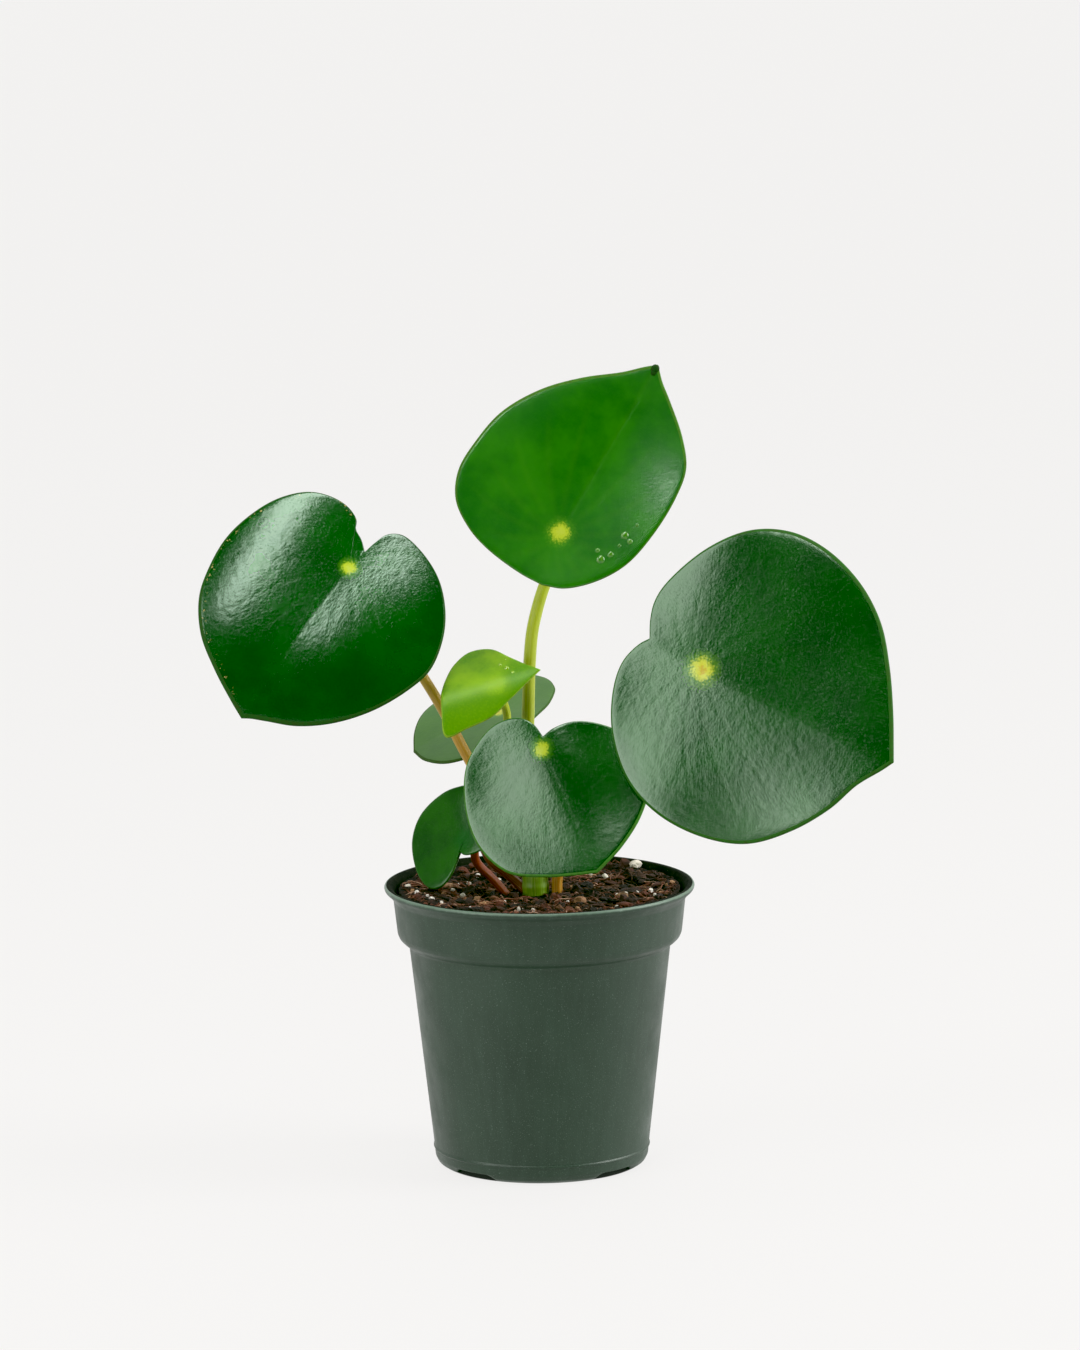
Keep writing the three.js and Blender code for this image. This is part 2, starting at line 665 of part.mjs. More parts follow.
for (const [name, leaf] of Object.entries(LEAVES)) {
  const blade = piece(`leaf_${name}`, leafGeometry(leaf), leaf.colour, 0.3);
  blade.position.set(...leaf.at);
  blade.quaternion.copy(leafTurn(leaf));
  plant.add(blade);
}

export default plant;
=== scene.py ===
from itertools import combinations
from math import cos, pi, radians, sin

import bpy
import numpy as np
from mathutils import Matrix, Vector


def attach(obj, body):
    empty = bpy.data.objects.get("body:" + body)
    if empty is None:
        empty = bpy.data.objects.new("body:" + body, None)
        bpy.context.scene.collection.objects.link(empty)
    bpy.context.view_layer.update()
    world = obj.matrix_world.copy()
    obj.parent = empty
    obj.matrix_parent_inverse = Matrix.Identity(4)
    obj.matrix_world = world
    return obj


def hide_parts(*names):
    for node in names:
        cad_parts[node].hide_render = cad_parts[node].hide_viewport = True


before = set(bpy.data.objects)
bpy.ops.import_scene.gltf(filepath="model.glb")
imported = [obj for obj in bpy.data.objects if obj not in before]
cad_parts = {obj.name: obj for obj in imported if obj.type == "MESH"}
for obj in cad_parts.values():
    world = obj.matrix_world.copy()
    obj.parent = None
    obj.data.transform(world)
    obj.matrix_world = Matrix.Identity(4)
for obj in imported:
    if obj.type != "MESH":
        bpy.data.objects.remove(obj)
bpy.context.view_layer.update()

MM = 0.001

# ---- Camera ------------------------------------------------------------------------------------

IMAGE_WIDTH = 1080
FOCAL_PIXELS = 6939  # focal length in pixels of the 1080 by 1350 frame
CAMERA_PLACE = (0.0009, -2.3, 0.5613)
CAMERA_PITCH = radians(-9.72)
CAMERA_ROLL = radians(-0.553)


def add_camera():
    """A long lens in front of the plant, a little above it: pitch turns it down from level, then roll
    turns it about its own line of sight."""
    data = bpy.data.cameras.new("camera")
    data.sensor_fit = "HORIZONTAL"
    data.sensor_width = 36
    data.lens = FOCAL_PIXELS / IMAGE_WIDTH * data.sensor_width
    data.clip_end = 100
    camera = bpy.data.objects.new("camera", data)
    bpy.context.scene.collection.objects.link(camera)
    turn = Matrix.Rotation(pi / 2 + CAMERA_PITCH, 4, "X") @ Matrix.Rotation(CAMERA_ROLL, 4, "Z")
    camera.matrix_world = Matrix.Translation(CAMERA_PLACE) @ turn
    bpy.context.scene.camera = camera


add_camera()

# ---- Driving dimensions, in millimetres --------------------------------------------------------

POT_HEIGHT = 96
LIP_RADIUS = 52.5
LIP_WIDTH = 2.3
LIP_DROP = 4.6
BAND_TOP_RADIUS = 49.4
BAND_FOOT_RADIUS = 48.1
BAND_DROP = 16.3
WALL_TOP_RADIUS = 44.2
WALL_TOP_Z = 75.2
WALL_FOOT_RADIUS = 36.4
SEAM_Z = 6
SEAM_PROUD = 0.35
FOOT_RADIUS = 33.6
FOOT_INNER_RADIUS = 31.8
WALL = 1.3
FLOOR_BOTTOM = 2.4
FLOOR_TOP = 3.9
PAD_RADIUS = 9
NOTCH_COUNT = 4
NOTCH_OFFSET = 47
NOTCH_WIDTH = 16
NOTCH_SLOPE = 3
NOTCH_HEIGHT = 2.3
DRAIN_RADIUS = 3.5
DRAIN_DISTANCE = 25
DRAIN_LOW, DRAIN_HIGH = 1.2, 6.0  # the heights between which the drain holes are cut
POT_CORNER = 0.45  # how far each corner of the pot's profile is rounded
POT_STEP = 2.5  # longest stretch of the profile between two rings
POT_AROUND = 288  # steps round the pot
DRAIN_AROUND = 32  # steps round a drain hole

SOIL_LEVEL = 92
SOIL_RISE = 1.6
SOIL_LUMPS = 90
SOIL_GAP = 0.4  # between the soil and the pot's inside
SOIL_RINGS = 76
SOIL_AROUND = 260
SOIL_REACH = 46  # lumps and loose bits are placed within this distance of the pot's axis
FIBRE_REACH = 46.6  # no fibre's end lies further out than this

STEM_RADIUS = 4.5
STEM_PATH = [[0.5, 0.5, 48], [-0.2, 0.2, 70], [-1, 0, 90], [-1.8, 0, 108], [-3, 0.3, 124]]

MARGIN_STEPS = 110  # along each side of a leaf's margin
BLADE_RINGS = 36  # from the stalk to the margin, on each face
MARGIN_START = 0.966  # the share of the way out from which the blade is margin
CURL_WIDTH = 2.4  # of the band along the margin that curls down
CURL_DEPTH = 0.1
PATTERN_SPAN = 100  # millimetres of blade from 0 to 1 in a leaf's pattern
VEIN_TURN = radians(24)  # from one vein to the next at the stalk

# Each leaf: where its stalk meets it, the way its upper face looks (elevation and azimuth), the turn
# from straight down its slope to its midrib, its margin on each side of the midrib from notch to tip,
# its tip, its form (dome, size, groove, tip, wave, waves), its thickness and the width of its fold. Where
# a leaf has swells, each is a place across and along the blade and a height, spread is their width, and
# lean is the blade's slope across and along.
LEAVES = {
    "top": dict(
        at=[8.1, -9.8, 217.2], facing=[12, -1], turn=-149.8, notch=[3.7, -18.4],
        right=[[10.7, -15.7], [18.7, -8.4], [24.6, 1.4], [27.3, 14], [27.8, 28.8], [25.9, 39.4],
               [19.5, 48], [9.3, 57], [4.2, 61.1]],
        left=[[-4.9, -18.6], [-18.8, -16.8], [-27.6, -13.7], [-35.9, -7.7], [-40.1, 1.4],
              [-39.9, 13.4], [-37.4, 25.6], [-29.9, 38.6], [-19.9, 48.9], [-8.9, 57.4], [-3.1, 62.7]],
        tip=[0.3, 65.3], form=(1.6, 38, 0.047, 2, 0.5, 3), blade=1.2, fold=9,
        swells=[[25, -1, -2.2], [14, 41, -4.4], [-23, 2, -1.7]], spread=23, lean=[0.115, -0.065],
    ),
    "left": dict(
        at=[-62.6, -8, 205.5], facing=[34, 7.5], turn=39.6, notch=[-0.7, -8.3],
        right=[[3, -11.5], [6.2, -13.1], [7.5, -14.5], [8.4, -16.4], [13.6, -18.6], [20.3, -18.1],
               [27.2, -14.8], [33.6, -7.2], [37.7, 2.4], [39.9, 14.5], [38.5, 26.3], [35.2, 36.1],
               [27.2, 45.9], [16.4, 52.7], [5.9, 57.4]],
        left=[[-1.4, -14.2], [-2.7, -19], [-6.6, -21.9], [-14.2, -21], [-25.3, -16], [-34.5, -7.3],
              [-39.9, 1.7], [-42.5, 12.3], [-40.6, 21.7], [-35, 34], [-26.6, 44.5], [-16.9, 51.9],
              [-7.4, 56.1], [-2.5, 58.2]],
        tip=[-0.1, 59.6], form=(8.2, 42, 0.096, -1, 0.4, 4), blade=1.2, fold=4,
        swells=[[-2, -16, -1.8], [-43, -7, 3.2], [13, 26, -1.6]], spread=16, lean=[0.035, -0.015],
    ),
    "right": dict(
        at=[54.5, -41.5, 175.7], facing=[12.5, -16.6], turn=-67.1, notch=[-1.5, -21.4],
        right=[[1.7, -23.9], [9.2, -26.6], [18.9, -25.7], [32.5, -19.8], [44.2, -8.5], [49.8, 5.4],
               [50.2, 22.7], [45.6, 37.9], [35.2, 50.3], [22.6, 59.7], [11.6, 64.9], [3.5, 70.6]],
        left=[[-7.2, -24.2], [-13.2, -25.7], [-20, -24.9], [-36.2, -17.3], [-48.2, -6.3],
              [-53.5, 6], [-53.6, 19.8], [-48.6, 35.1], [-39.8, 47.6], [-28, 57.1], [-15.4, 65],
              [-5.4, 70.4]],
        tip=[-0.4, 73], form=(2.2, 48, -0.085, 2.5, 0.4, 5), blade=1.2, fold=1.5,
        swells=[[-65, 23, 4.3], [36, -60, 5.5], [-55, -18, 5], [-27, 70, 3]], spread=22,
        lean=[0.03, 0.075],
    ),
    "front": dict(
        at=[1.3, -26, 146.6], facing=[20, -14], turn=-27.8, notch=[-2.1, -3.9],
        right=[[-0.8, -9.2], [2.8, -13.2], [8.4, -14.9], [15, -14.1], [26.1, -7.1], [32.4, 6.1],
               [33.1, 20.4], [27.3, 32.9], [16.8, 39.6], [6.6, 43.8]],
        left=[[-6.5, -4.9], [-13.4, -4.3], [-20.1, -0.8], [-26.7, 6.3], [-29.5, 16.7],
              [-27.2, 26.6], [-20.7, 34.9], [-11.4, 41.5], [-4.4, 44.7]],
        tip=[-0.5, 46.2], form=(2, 30, -0.003, 1, 0.3, 3), blade=1.2, fold=1.5,
        swells=[[-33, -4, -6.6], [-28, 26, -3.8], [22, 2, -3.8], [9, 25, -2.7]], spread=15,
        lean=[-0.025, 0.035],
    ),
    "back": dict(
        at=[-13.8, 26, 149.9], facing=[66, -22], turn=51.6, notch=[1.8, -20.8],
        right=[[6.2, -22.9], [13, -22.2], [21.2, -13.4], [23.9, 0], [21.4, 11.4], [16.7, 21.7],
               [9.5, 27.5]],
        left=[[-3, -17.4], [-8.5, -11.6], [-15, -4], [-19.6, 5], [-19.8, 14], [-15.7, 23.9],
              [-7.5, 29.6]],
        tip=[0, 31.2], form=(2, 24, 0.08, -2, 0.3, 3), blade=1, fold=4,
    ),
    "young": dict(
        at=[-13.9, -12, 166.4], facing=[38, -4], turn=-110, notch=[-2.6, -18.6],
        right=[[3, -20.2], [11.3, -21.6], [11, -14], [9.8, -4.5], [6.6, 2.4], [3.4, 9]],
        left=[[-7.5, -15.8], [-13.8, -10.7], [-17.6, -4], [-16.1, 2.9], [-9.5, 7.9], [-4, 12]],
        tip=[0, 15.8], form=(0, 16, -0.42, 1, 0.2, 2), blade=1, fold=4.5,
    ),
    "lower_left": dict(
        at=[-24.6, -17, 114.4], facing=[24, -38], turn=-174.9, notch=[-1.5, -4.2],
        right=[[1.5, -5], [5.7, -3.4], [10.2, 0.5], [13.1, 6.1], [11.1, 12.5], [6.6, 17.9]],
        left=[[-1.2, -10.7], [-4.2, -17], [-9.2, -18.7], [-16, -15], [-22.7, -4.9], [-22.5, 4.2],
              [-15, 13.7], [-5.6, 18.6]],
        tip=[1.4, 21.2], form=(2, 20, 0.038, 0, 0.3, 2), blade=1, fold=3,
        swells=[[13, 16, -2], [-18, -2, -3.5]], spread=14, lean=[-0.08, 0.06],
    ),
}

# Each leaf stalk: its radii at foot and head, and its path from inside the stem towards its leaf.
STALKS = {
    "top": dict(radii=(2.3, 1.9), path=[
        [-3, 0.3, 118], [-3.8, 0.6, 136], [-3.3, 1, 153.2], [-2.6, 1.5, 170.9], [-1.5, 2, 182.4],
        [1, 3.5, 192.3], [3.6, 4.6, 199.5], [7.6, 2.4, 209.5]]),
    "left": dict(radii=(1.9, 1.7), path=[
        [-1.8, 0, 101], [-10, -1.5, 115], [-23.5, -3, 139.6], [-34.1, -3, 160.3], [-50, 0, 184.5]]),
    "right": dict(radii=(1.8, 1.8), path=[
        [-0.4, 0, 74], [4, -0.8, 83], [5.9, -1.5, 92.1], [6.3, -2, 99], [14, -6, 120], [33, -15, 149]]),
    "front": dict(radii=(1.8, 1.6), path=[[-2.4, 0, 113], [-2.2, -6, 124], [-0.8, -14, 134.5]]),
    "back": dict(radii=(1.6, 1.4), path=[
        [-1, 0.4, 90], [-10.9, 4, 98.4], [-16.6, 6, 103], [-21, 11, 114], [-20, 21, 130]]),
    "young": dict(radii=(1.5, 1.3), path=[
        [-2.7, 0, 118], [-7.4, -1.4, 131], [-9.8, -2.8, 146], [-10.8, -3.8, 157]]),
    "lower_left": dict(radii=(1.6, 1.4), path=[
        [-0.6, 0, 80], [-8, -1.4, 88.5], [-15, -3, 97.4], [-21, -5.4, 104.4]]),
}


# ---- Small tools -------------------------------------------------------------------------------


def smoothstep(low, high, x):
    """0 up to low, 1 from high on, and 3t^2 - 2t^3 between them."""
    t = np.clip((np.asarray(x, float) - low) / (high - low), 0, 1)
    return t * t * (3 - 2 * t)


def srgb(code):
    """A colour written as #rrggbb, turned into the linear values that shaders use."""
    values = np.array([int(code[i : i + 2], 16) for i in (1, 3, 5)]) / 255
    linear = np.where(values <= 0.04045, values / 12.92, ((values + 0.055) / 1.055) ** 2.4)
    return (*[float(v) for v in linear], 1.0)


def seeded(seed):
    """The plant's own random numbers: each is the last times 1664525 plus 1013904223, kept to 32 bits."""
    state = seed
    while True:
        state = (state * 1664525 + 1013904223) % 4294967296
        yield state / 4294967296


def curve_through(points, samples):
    """A smooth curve through the points, at equal steps of length. Between two points it is the cubic
    whose end slopes come from the neighbours, weighted by the square roots of their distances."""
    p = np.asarray(points, float)
    p = np.vstack([2 * p[0] - p[1], p, 2 * p[-1] - p[-2]])
    gap = np.linalg.norm(np.diff(p, axis=0), axis=1) ** 0.5
    count = len(p) - 3
    place = np.linspace(0, count, 60 * count + 1)
    i = np.minimum(place.astype(int), count - 1)
    t = (place - i)[:, None]
    a, b, c, d = p[i], p[i + 1], p[i + 2], p[i + 3]
    g0, g1, g2 = gap[i][:, None], gap[i + 1][:, None], gap[i + 2][:, None]
    start = ((b - a) / g0 - (c - a) / (g0 + g1) + (c - b) / g1) * g1
    end = ((c - b) / g1 - (d - b) / (g1 + g2) + (d - c) / g2) * g1
    fine = b + start * t + (3 * (c - b) - 2 * start - end) * t**2 + (2 * (b - c) + start + end) * t**3
    length = np.concatenate([[0], np.cumsum(np.linalg.norm(np.diff(fine, axis=0), axis=1))])
    even = np.linspace(0, length[-1], samples)
    return np.stack([np.interp(even, length, fine[:, k]) for k in range(fine.shape[1])], 1)


def band_faces(rings, around):
    """Four-sided faces between each ring of points and the next, on a closed grid of rings."""
    ring, step = np.meshgrid(np.arange(rings - 1), np.arange(around), indexing="ij")
    after = (step + 1) % around
    a = ring * around + step
    b = ring * around + after
    return np.stack([a, b, b + around, a + around], -1).reshape(-1, 4)


def fan_faces(centre, first, around, flip=False):
    """Three-sided faces from one point to each step of a ring."""
    step = np.arange(around)
    after = (step + 1) % around
    corners = [np.full(around, centre), first + step, first + after]
    if flip:
        corners = [corners[0], corners[2], corners[1]]
    return np.stack(corners, -1)


def closed_faces(rings, around, turned_over=False):
    """The faces of a closed skin: bands from the first ring to the last, and a fan on each end ring to
    the two points that follow the rings. turned_over makes them look the other way."""
    bands = band_faces(rings, around)
    first = fan_faces(rings * around, 0, around, flip=not turned_over)
    last = fan_faces(rings * around + 1, (rings - 1) * around, around, flip=turned_over)
    return [bands[:, ::-1] if turned_over else bands, first, last]


def copied_faces(faces, count, points_each):
    """One shape's faces, repeated for each of count copies whose points follow each other."""
    shift = (np.arange(count) * points_each)[:, None, None]
    return (faces[None] + shift).reshape(-1, faces.shape[1])


def make_piece(name, points, face_sets, materials, slots=None, uv=None, values=None, smooth=True):
    """A mesh object from points in millimetres and groups of faces with three or four corners each.
    slots gives each face's material, uv each point's place on the pattern, and values more numbers
    for each point by name."""
    mesh = bpy.data.meshes.new(name)
    mesh.vertices.add(len(points))
    mesh.vertices.foreach_set("co", (np.asarray(points) * MM).astype(np.float32).ravel())
    corners = np.concatenate([f.ravel() for f in face_sets]).astype(np.int32)
    sizes = np.concatenate([np.full(len(f), f.shape[1]) for f in face_sets])
    mesh.loops.add(len(corners))
    mesh.loops.foreach_set("vertex_index", corners)
    mesh.polygons.add(len(sizes))
    starts = np.concatenate([[0], np.cumsum(sizes)[:-1]]).astype(np.int32)
    mesh.polygons.foreach_set("loop_start", starts)
    if slots is not None:
        mesh.polygons.foreach_set("material_index", np.asarray(slots, np.int32))
    mesh.polygons.foreach_set("use_smooth", np.full(len(sizes), smooth))
    if uv is not None:
        layer = mesh.uv_layers.new(name="place")
        layer.data.foreach_set("uv", np.asarray(uv, np.float32)[corners].ravel())
    for label, data in (values or {}).items():
        attribute = mesh.attributes.new(label, "FLOAT", "POINT")
        attribute.data.foreach_set("value", np.asarray(data, np.float32))
    mesh.update()
    mesh.validate()
    for material in materials:
        mesh.materials.append(material)
    piece = bpy.data.objects.new(name, mesh)
    bpy.context.scene.collection.objects.link(piece)
    return piece


# ---- Finishes ----------------------------------------------------------------------------------


class Finish:
    """One material's nodes. Each method adds a node and gives back its result, and takes plain numbers
    or the results of others. done ends the material."""

    def __init__(self, name):
        self.material = bpy.data.materials.new(name)
        self.material.use_nodes = True
        self.tree = self.material.node_tree
        self.tree.nodes.clear()

    def add(self, kind, result, inputs=None, **settings):
        node = self.tree.nodes.new(kind)
        for key, value in settings.items():
            setattr(node, key, value)
        self.set_inputs(node, inputs or {})
        return node.outputs[result]

    def set_inputs(self, node, inputs):
        """Links each input to the result of another node, or gives it the plain value."""
        for key, value in inputs.items():
            if isinstance(value, bpy.types.NodeSocket):
                self.tree.links.new(value, node.inputs[key])
            else:
                node.inputs[key].default_value = value

    def math(self, operation, a, b=0.0):
        return self.add("ShaderNodeMath", 0, {0: a, 1: b}, operation=operation)

    def value(self, name):
        return self.add("ShaderNodeAttribute", "Fac", attribute_name=name)

    def object_place(self):
        return self.add("ShaderNodeTexCoord", "Object")

    def own_place(self):
        return self.add("ShaderNodeUVMap", "UV", uv_map="place")

    def scaled(self, vector, factor):
        return self.add("ShaderNodeVectorMath", 0, {0: vector, 1: factor}, operation="MULTIPLY")

    def split(self, vector, axis):
        return self.add("ShaderNodeSeparateXYZ", axis, {0: vector})

    def noise(self, vector, scale, detail=3.0, roughness=0.55):
        return self.add(
            "ShaderNodeTexNoise", "Fac",
            {"Vector": vector, "Scale": scale, "Detail": detail, "Roughness": roughness},
        )

    def cells(self, vector, scale):
        return self.add("ShaderNodeTexVoronoi", "Distance", {"Vector": vector, "Scale": scale})

    def length(self, vector):
        return self.add("ShaderNodeVectorMath", "Value", {0: vector}, operation="LENGTH")

    def ease(self, value, low, high, start=0.0, end=1.0):
        """start where value is low, end where it is high, smooth between."""
        return self.add(
            "ShaderNodeMapRange", "Result",
            {"Value": value, "From Min": low, "From Max": high, "To Min": start, "To Max": end},
            interpolation_type="SMOOTHSTEP",
        )

    def mix(self, share, a, b):
        """Colour a where share is 0, colour b where it is 1."""
        node = self.tree.nodes.new("ShaderNodeMix")
        node.data_type = "RGBA"
        self.set_inputs(node, {0: share, 6: a, 7: b})
        return node.outputs[2]

    def bump(self, height, distance, strength=1.0, under=None):
        inputs = {"Height": height, "Distance": distance, "Strength": strength}
        if under is not None:
            inputs["Normal"] = under
        return self.add("ShaderNodeBump", "Normal", inputs)

    def done(self, colour, roughness, normal=None, **more):
        """Ends the material in one surface shader. more gives that shader's other inputs by name."""
        shader = self.tree.nodes.new("ShaderNodeBsdfPrincipled")
        inputs = {"Base Color": colour, "Roughness": roughness}
        if normal is not None:
            inputs["Normal"] = normal
        inputs.update({key.replace("_", " "): value for key, value in more.items()})
        self.set_inputs(shader, inputs)
        output = self.tree.nodes.new("ShaderNodeOutputMaterial")
        self.tree.links.new(shader.outputs[0], output.inputs[0])
        return self.material


def pot_finish():
    """Moulded green plastic: a faint cloud, streaks up the wall, fine pale specks, a few dark pits, a
    painted highlight as a pale line round the very top of the lip, and a satin gloss that varies a little."""
    f = Finish("pot_plastic")
    place = f.object_place()
    cloud = f.noise(place, 28.0, 4.0)
    streaks = f.noise(f.scaled(place, (420.0, 420.0, 26.0)), 1.0, 2.0)
    specks = f.noise(place, 2600.0, 1.0)
    colour = f.mix(f.ease(cloud, 0.3, 0.7), srgb("#1a2b1f"), srgb("#223427"))
    colour = f.mix(f.ease(streaks, 0.35, 0.75, 0.0, 0.16), colour, srgb("#364b3e"))
    colour = f.mix(f.ease(specks, 0.62, 0.8, 0.0, 0.4), colour, srgb("#73867a"))
    dust = f.cells(place, 210.0)
    colour = f.mix(f.ease(dust, 0.05, 0.12, 0.75, 0.0), colour, srgb("#26332b"))
    up = f.split(place, "Z")
    # Painted highlight: the very top of the lip is mixed towards pale green, broken up a little by the
    # streaks.
    painted_lip_highlight = f.math("ADD", up, f.math("MULTIPLY", streaks, 0.0006))
    colour = f.mix(f.ease(painted_lip_highlight, 0.0952, 0.0961, 0.0, 0.6), colour, srgb("#6d8572"))
    height = f.math("ADD", f.math("MULTIPLY", specks, 0.5), f.math("MULTIPLY", streaks, 0.25))
    normal = f.bump(height, 0.00012, 0.5)
    normal = f.bump(cloud, 0.0012, 0.35, normal)
    rough = f.ease(f.noise(place, 90.0), 0.3, 0.7, 0.36, 0.5)
    return f.done(
        colour, rough, normal, IOR=1.5, Specular_IOR_Level=0.55, Specular_Tint=(0.96, 1.0, 0.96, 1.0),
    )


def inside_shade_finish():
    """The inside of the pot above the soil: plastic painted nearly black as shade, with paler dust."""
    f = Finish("inside_shade_plastic")
    place = f.object_place()
    smears = f.noise(f.scaled(place, (1.0, 1.0, 0.4)), 220.0, 5.0, 0.6)
    dust = f.noise(place, 1400.0, 2.0)
    # Painted shade: the whole inside is coloured nearly black, with faint smears.
    colour = f.mix(f.ease(smears, 0.35, 0.7), srgb("#050604"), srgb("#191a12"))
    colour = f.mix(f.ease(dust, 0.6, 0.75, 0.0, 0.5), colour, srgb("#4a4636"))
    return f.done(colour, 0.85, f.bump(dust, 0.0003, 0.5), Specular_IOR_Level=0.12)


def dark_patches(f, place, colour):
    """The colour, gone nearly black in broad soft patches at random. Soil and bark share them."""
    patches = f.ease(f.noise(place, 75.0, 2.0), 0.4, 0.56, 0.75, 0.0)
    return f.mix(patches, colour, srgb("#050302"))


def soil_finish():
    """Peat: nearly black in broad patches, with painted shade in the pores between crumbs, red brown
    on top, all rough.
    """
    f = Finish("peat")
    place = f.object_place()
    broad = f.noise(place, 160.0, 6.0, 0.65)
    fine = f.noise(place, 900.0, 5.0, 0.7)
    crumbs = f.cells(place, 620.0)
    colour = f.mix(f.ease(broad, 0.36, 0.62), srgb("#070403"), srgb("#2a140e"))
    colour = f.mix(f.ease(fine, 0.52, 0.72, 0.0, 0.8), colour, srgb("#4e2c1e"))
    # Painted shade: dark spots round the cell points stand for the shade in pores between crumbs.
    colour = f.mix(f.ease(crumbs, 0.0, 0.35, 0.5, 0.0), colour, srgb("#0c0604"))
    colour = dark_patches(f, place, colour)
    height = f.math("ADD", broad, f.math("MULTIPLY", fine, 0.6))
    normal = f.bump(height, 0.0022, 0.9)
    return f.done(colour, 0.9, normal, Specular_IOR_Level=0.25)


def bark_finish(name, dark, mid, pale):
    """Bark or wood fibre: from its dark to its middle and pale colour, chosen by each bit's own number,
    with grain along its length."""
    f = Finish(name)
    place = f.object_place()
    tone = f.value("tone")
    grain = f.noise(f.scaled(place, (1.0, 1.0, 2.5)), 1300.0, 3.0)
    colour = f.mix(f.ease(tone, 0.2, 0.8), dark, mid)
    colour = f.mix(f.ease(tone, 0.84, 1.0, 0.0, 0.9), colour, pale)
    colour = f.mix(f.ease(grain, 0.35, 0.7, 0.0, 0.35), colour, srgb("#643626"))
    colour = dark_patches(f, place, colour)
    return f.done(colour, 0.75, f.bump(grain, 0.0006, 0.8), Specular_IOR_Level=0.35)


def perlite_finish():
    """Perlite: chalky cream grains with pits, some discoloured by the peat."""
    f = Finish("perlite")
    place = f.object_place()
    tone = f.value("tone")
    pits = f.noise(place, 2200.0, 3.0)
    colour = f.mix(f.ease(tone, 0.2, 0.9), srgb("#cfc8b8"), srgb("#f1ede2"))
    colour = f.mix(f.ease(pits, 0.55, 0.75, 0.0, 0.6), colour, srgb("#8b7b66"))
    return f.done(colour, 0.8, f.bump(pits, 0.0005, 0.9))


def root_finish():
    """Pale fleshy roots with darker rings."""
    f = Finish("root_flesh")
    place = f.object_place()
    rings = f.noise(f.scaled(place, (1.0, 1.0, 6.0)), 300.0, 3.0)
    colour = f.mix(f.ease(rings, 0.35, 0.7), srgb("#d9cba8"), srgb("#9a835a"))
    return f.done(colour, 0.7, f.bump(rings, 0.0006, 0.5))


def stalk_finish(name, foot, head, fleck):
    """A round fleshy stalk. Its colour goes from foot to head along its length, with fine streaks along
    it and small flecks."""
    f = Finish(name)
    own = f.own_place()
    along = f.split(own, "Y")
    place = f.object_place()
    streaks = f.noise(f.scaled(own, (26.0, 1.6, 1.0)), 1.0, 3.0)
    flecks = f.noise(place, 1500.0, 2.0)
    colour = f.mix(f.ease(along, 0.0, 1.0), foot, head)
    light = f.mix(0.5, head, srgb("#dfe08a"))
    colour = f.mix(f.ease(streaks, 0.4, 0.75, 0.0, 0.45), colour, light)
    colour = f.mix(f.ease(flecks, 0.62, 0.78, 0.0, 0.35), colour, fleck)
    normal = f.bump(streaks, 0.0004, 0.4)
    return f.done(
        colour, 0.34, normal, IOR=1.42, Subsurface_Weight=0.12,
        Subsurface_Radius=(0.7, 1.0, 0.25), Subsurface_Scale=0.0015,
    )


def margin_finish(name, colour):
    """The thin matt line of hardened skin round a leaf's margin, with darker flecks."""
    f = Finish(name)
    flecks = f.noise(f.object_place(), 900.0, 3.0)
    line = f.mix(f.ease(flecks, 0.4, 0.7, 0.0, 0.35), colour, srgb("#3a2c14"))
    return f.done(line, 0.65, Specular_IOR_Level=0.15)


def blade_places(f):
    """Places on a leaf's blade, in millimetres from the stalk: the place itself, x across and y along
    the midrib, the reach, and how far it lies aside from the nearest vein. Veins leave the stalk at even
    turns, and each bends towards the tip as its angle shrinks with the reach."""
    centred = f.add("ShaderNodeVectorMath", 0, {0: f.own_place(), 1: (-0.5, -0.5, 0.0)}, operation="ADD")
    place = f.scaled(centred, (PATTERN_SPAN, PATTERN_SPAN, 0.0))
    x = f.split(place, "X")
    y = f.split(place, "Y")
    reach = f.length(place)
    bend = f.math("ADD", f.math("MULTIPLY", reach, 0.009), 1.0)
    turns = f.math("DIVIDE", f.math("MULTIPLY", f.math("ARCTAN2", x, y), bend), VEIN_TURN)
    nearest = f.math("SUBTRACT", turns, f.math("ROUND", turns))
    aside = f.math("MULTIPLY", f.math("ABSOLUTE", nearest), f.math("MULTIPLY", reach, VEIN_TURN))
    return place, x, y, reach, aside


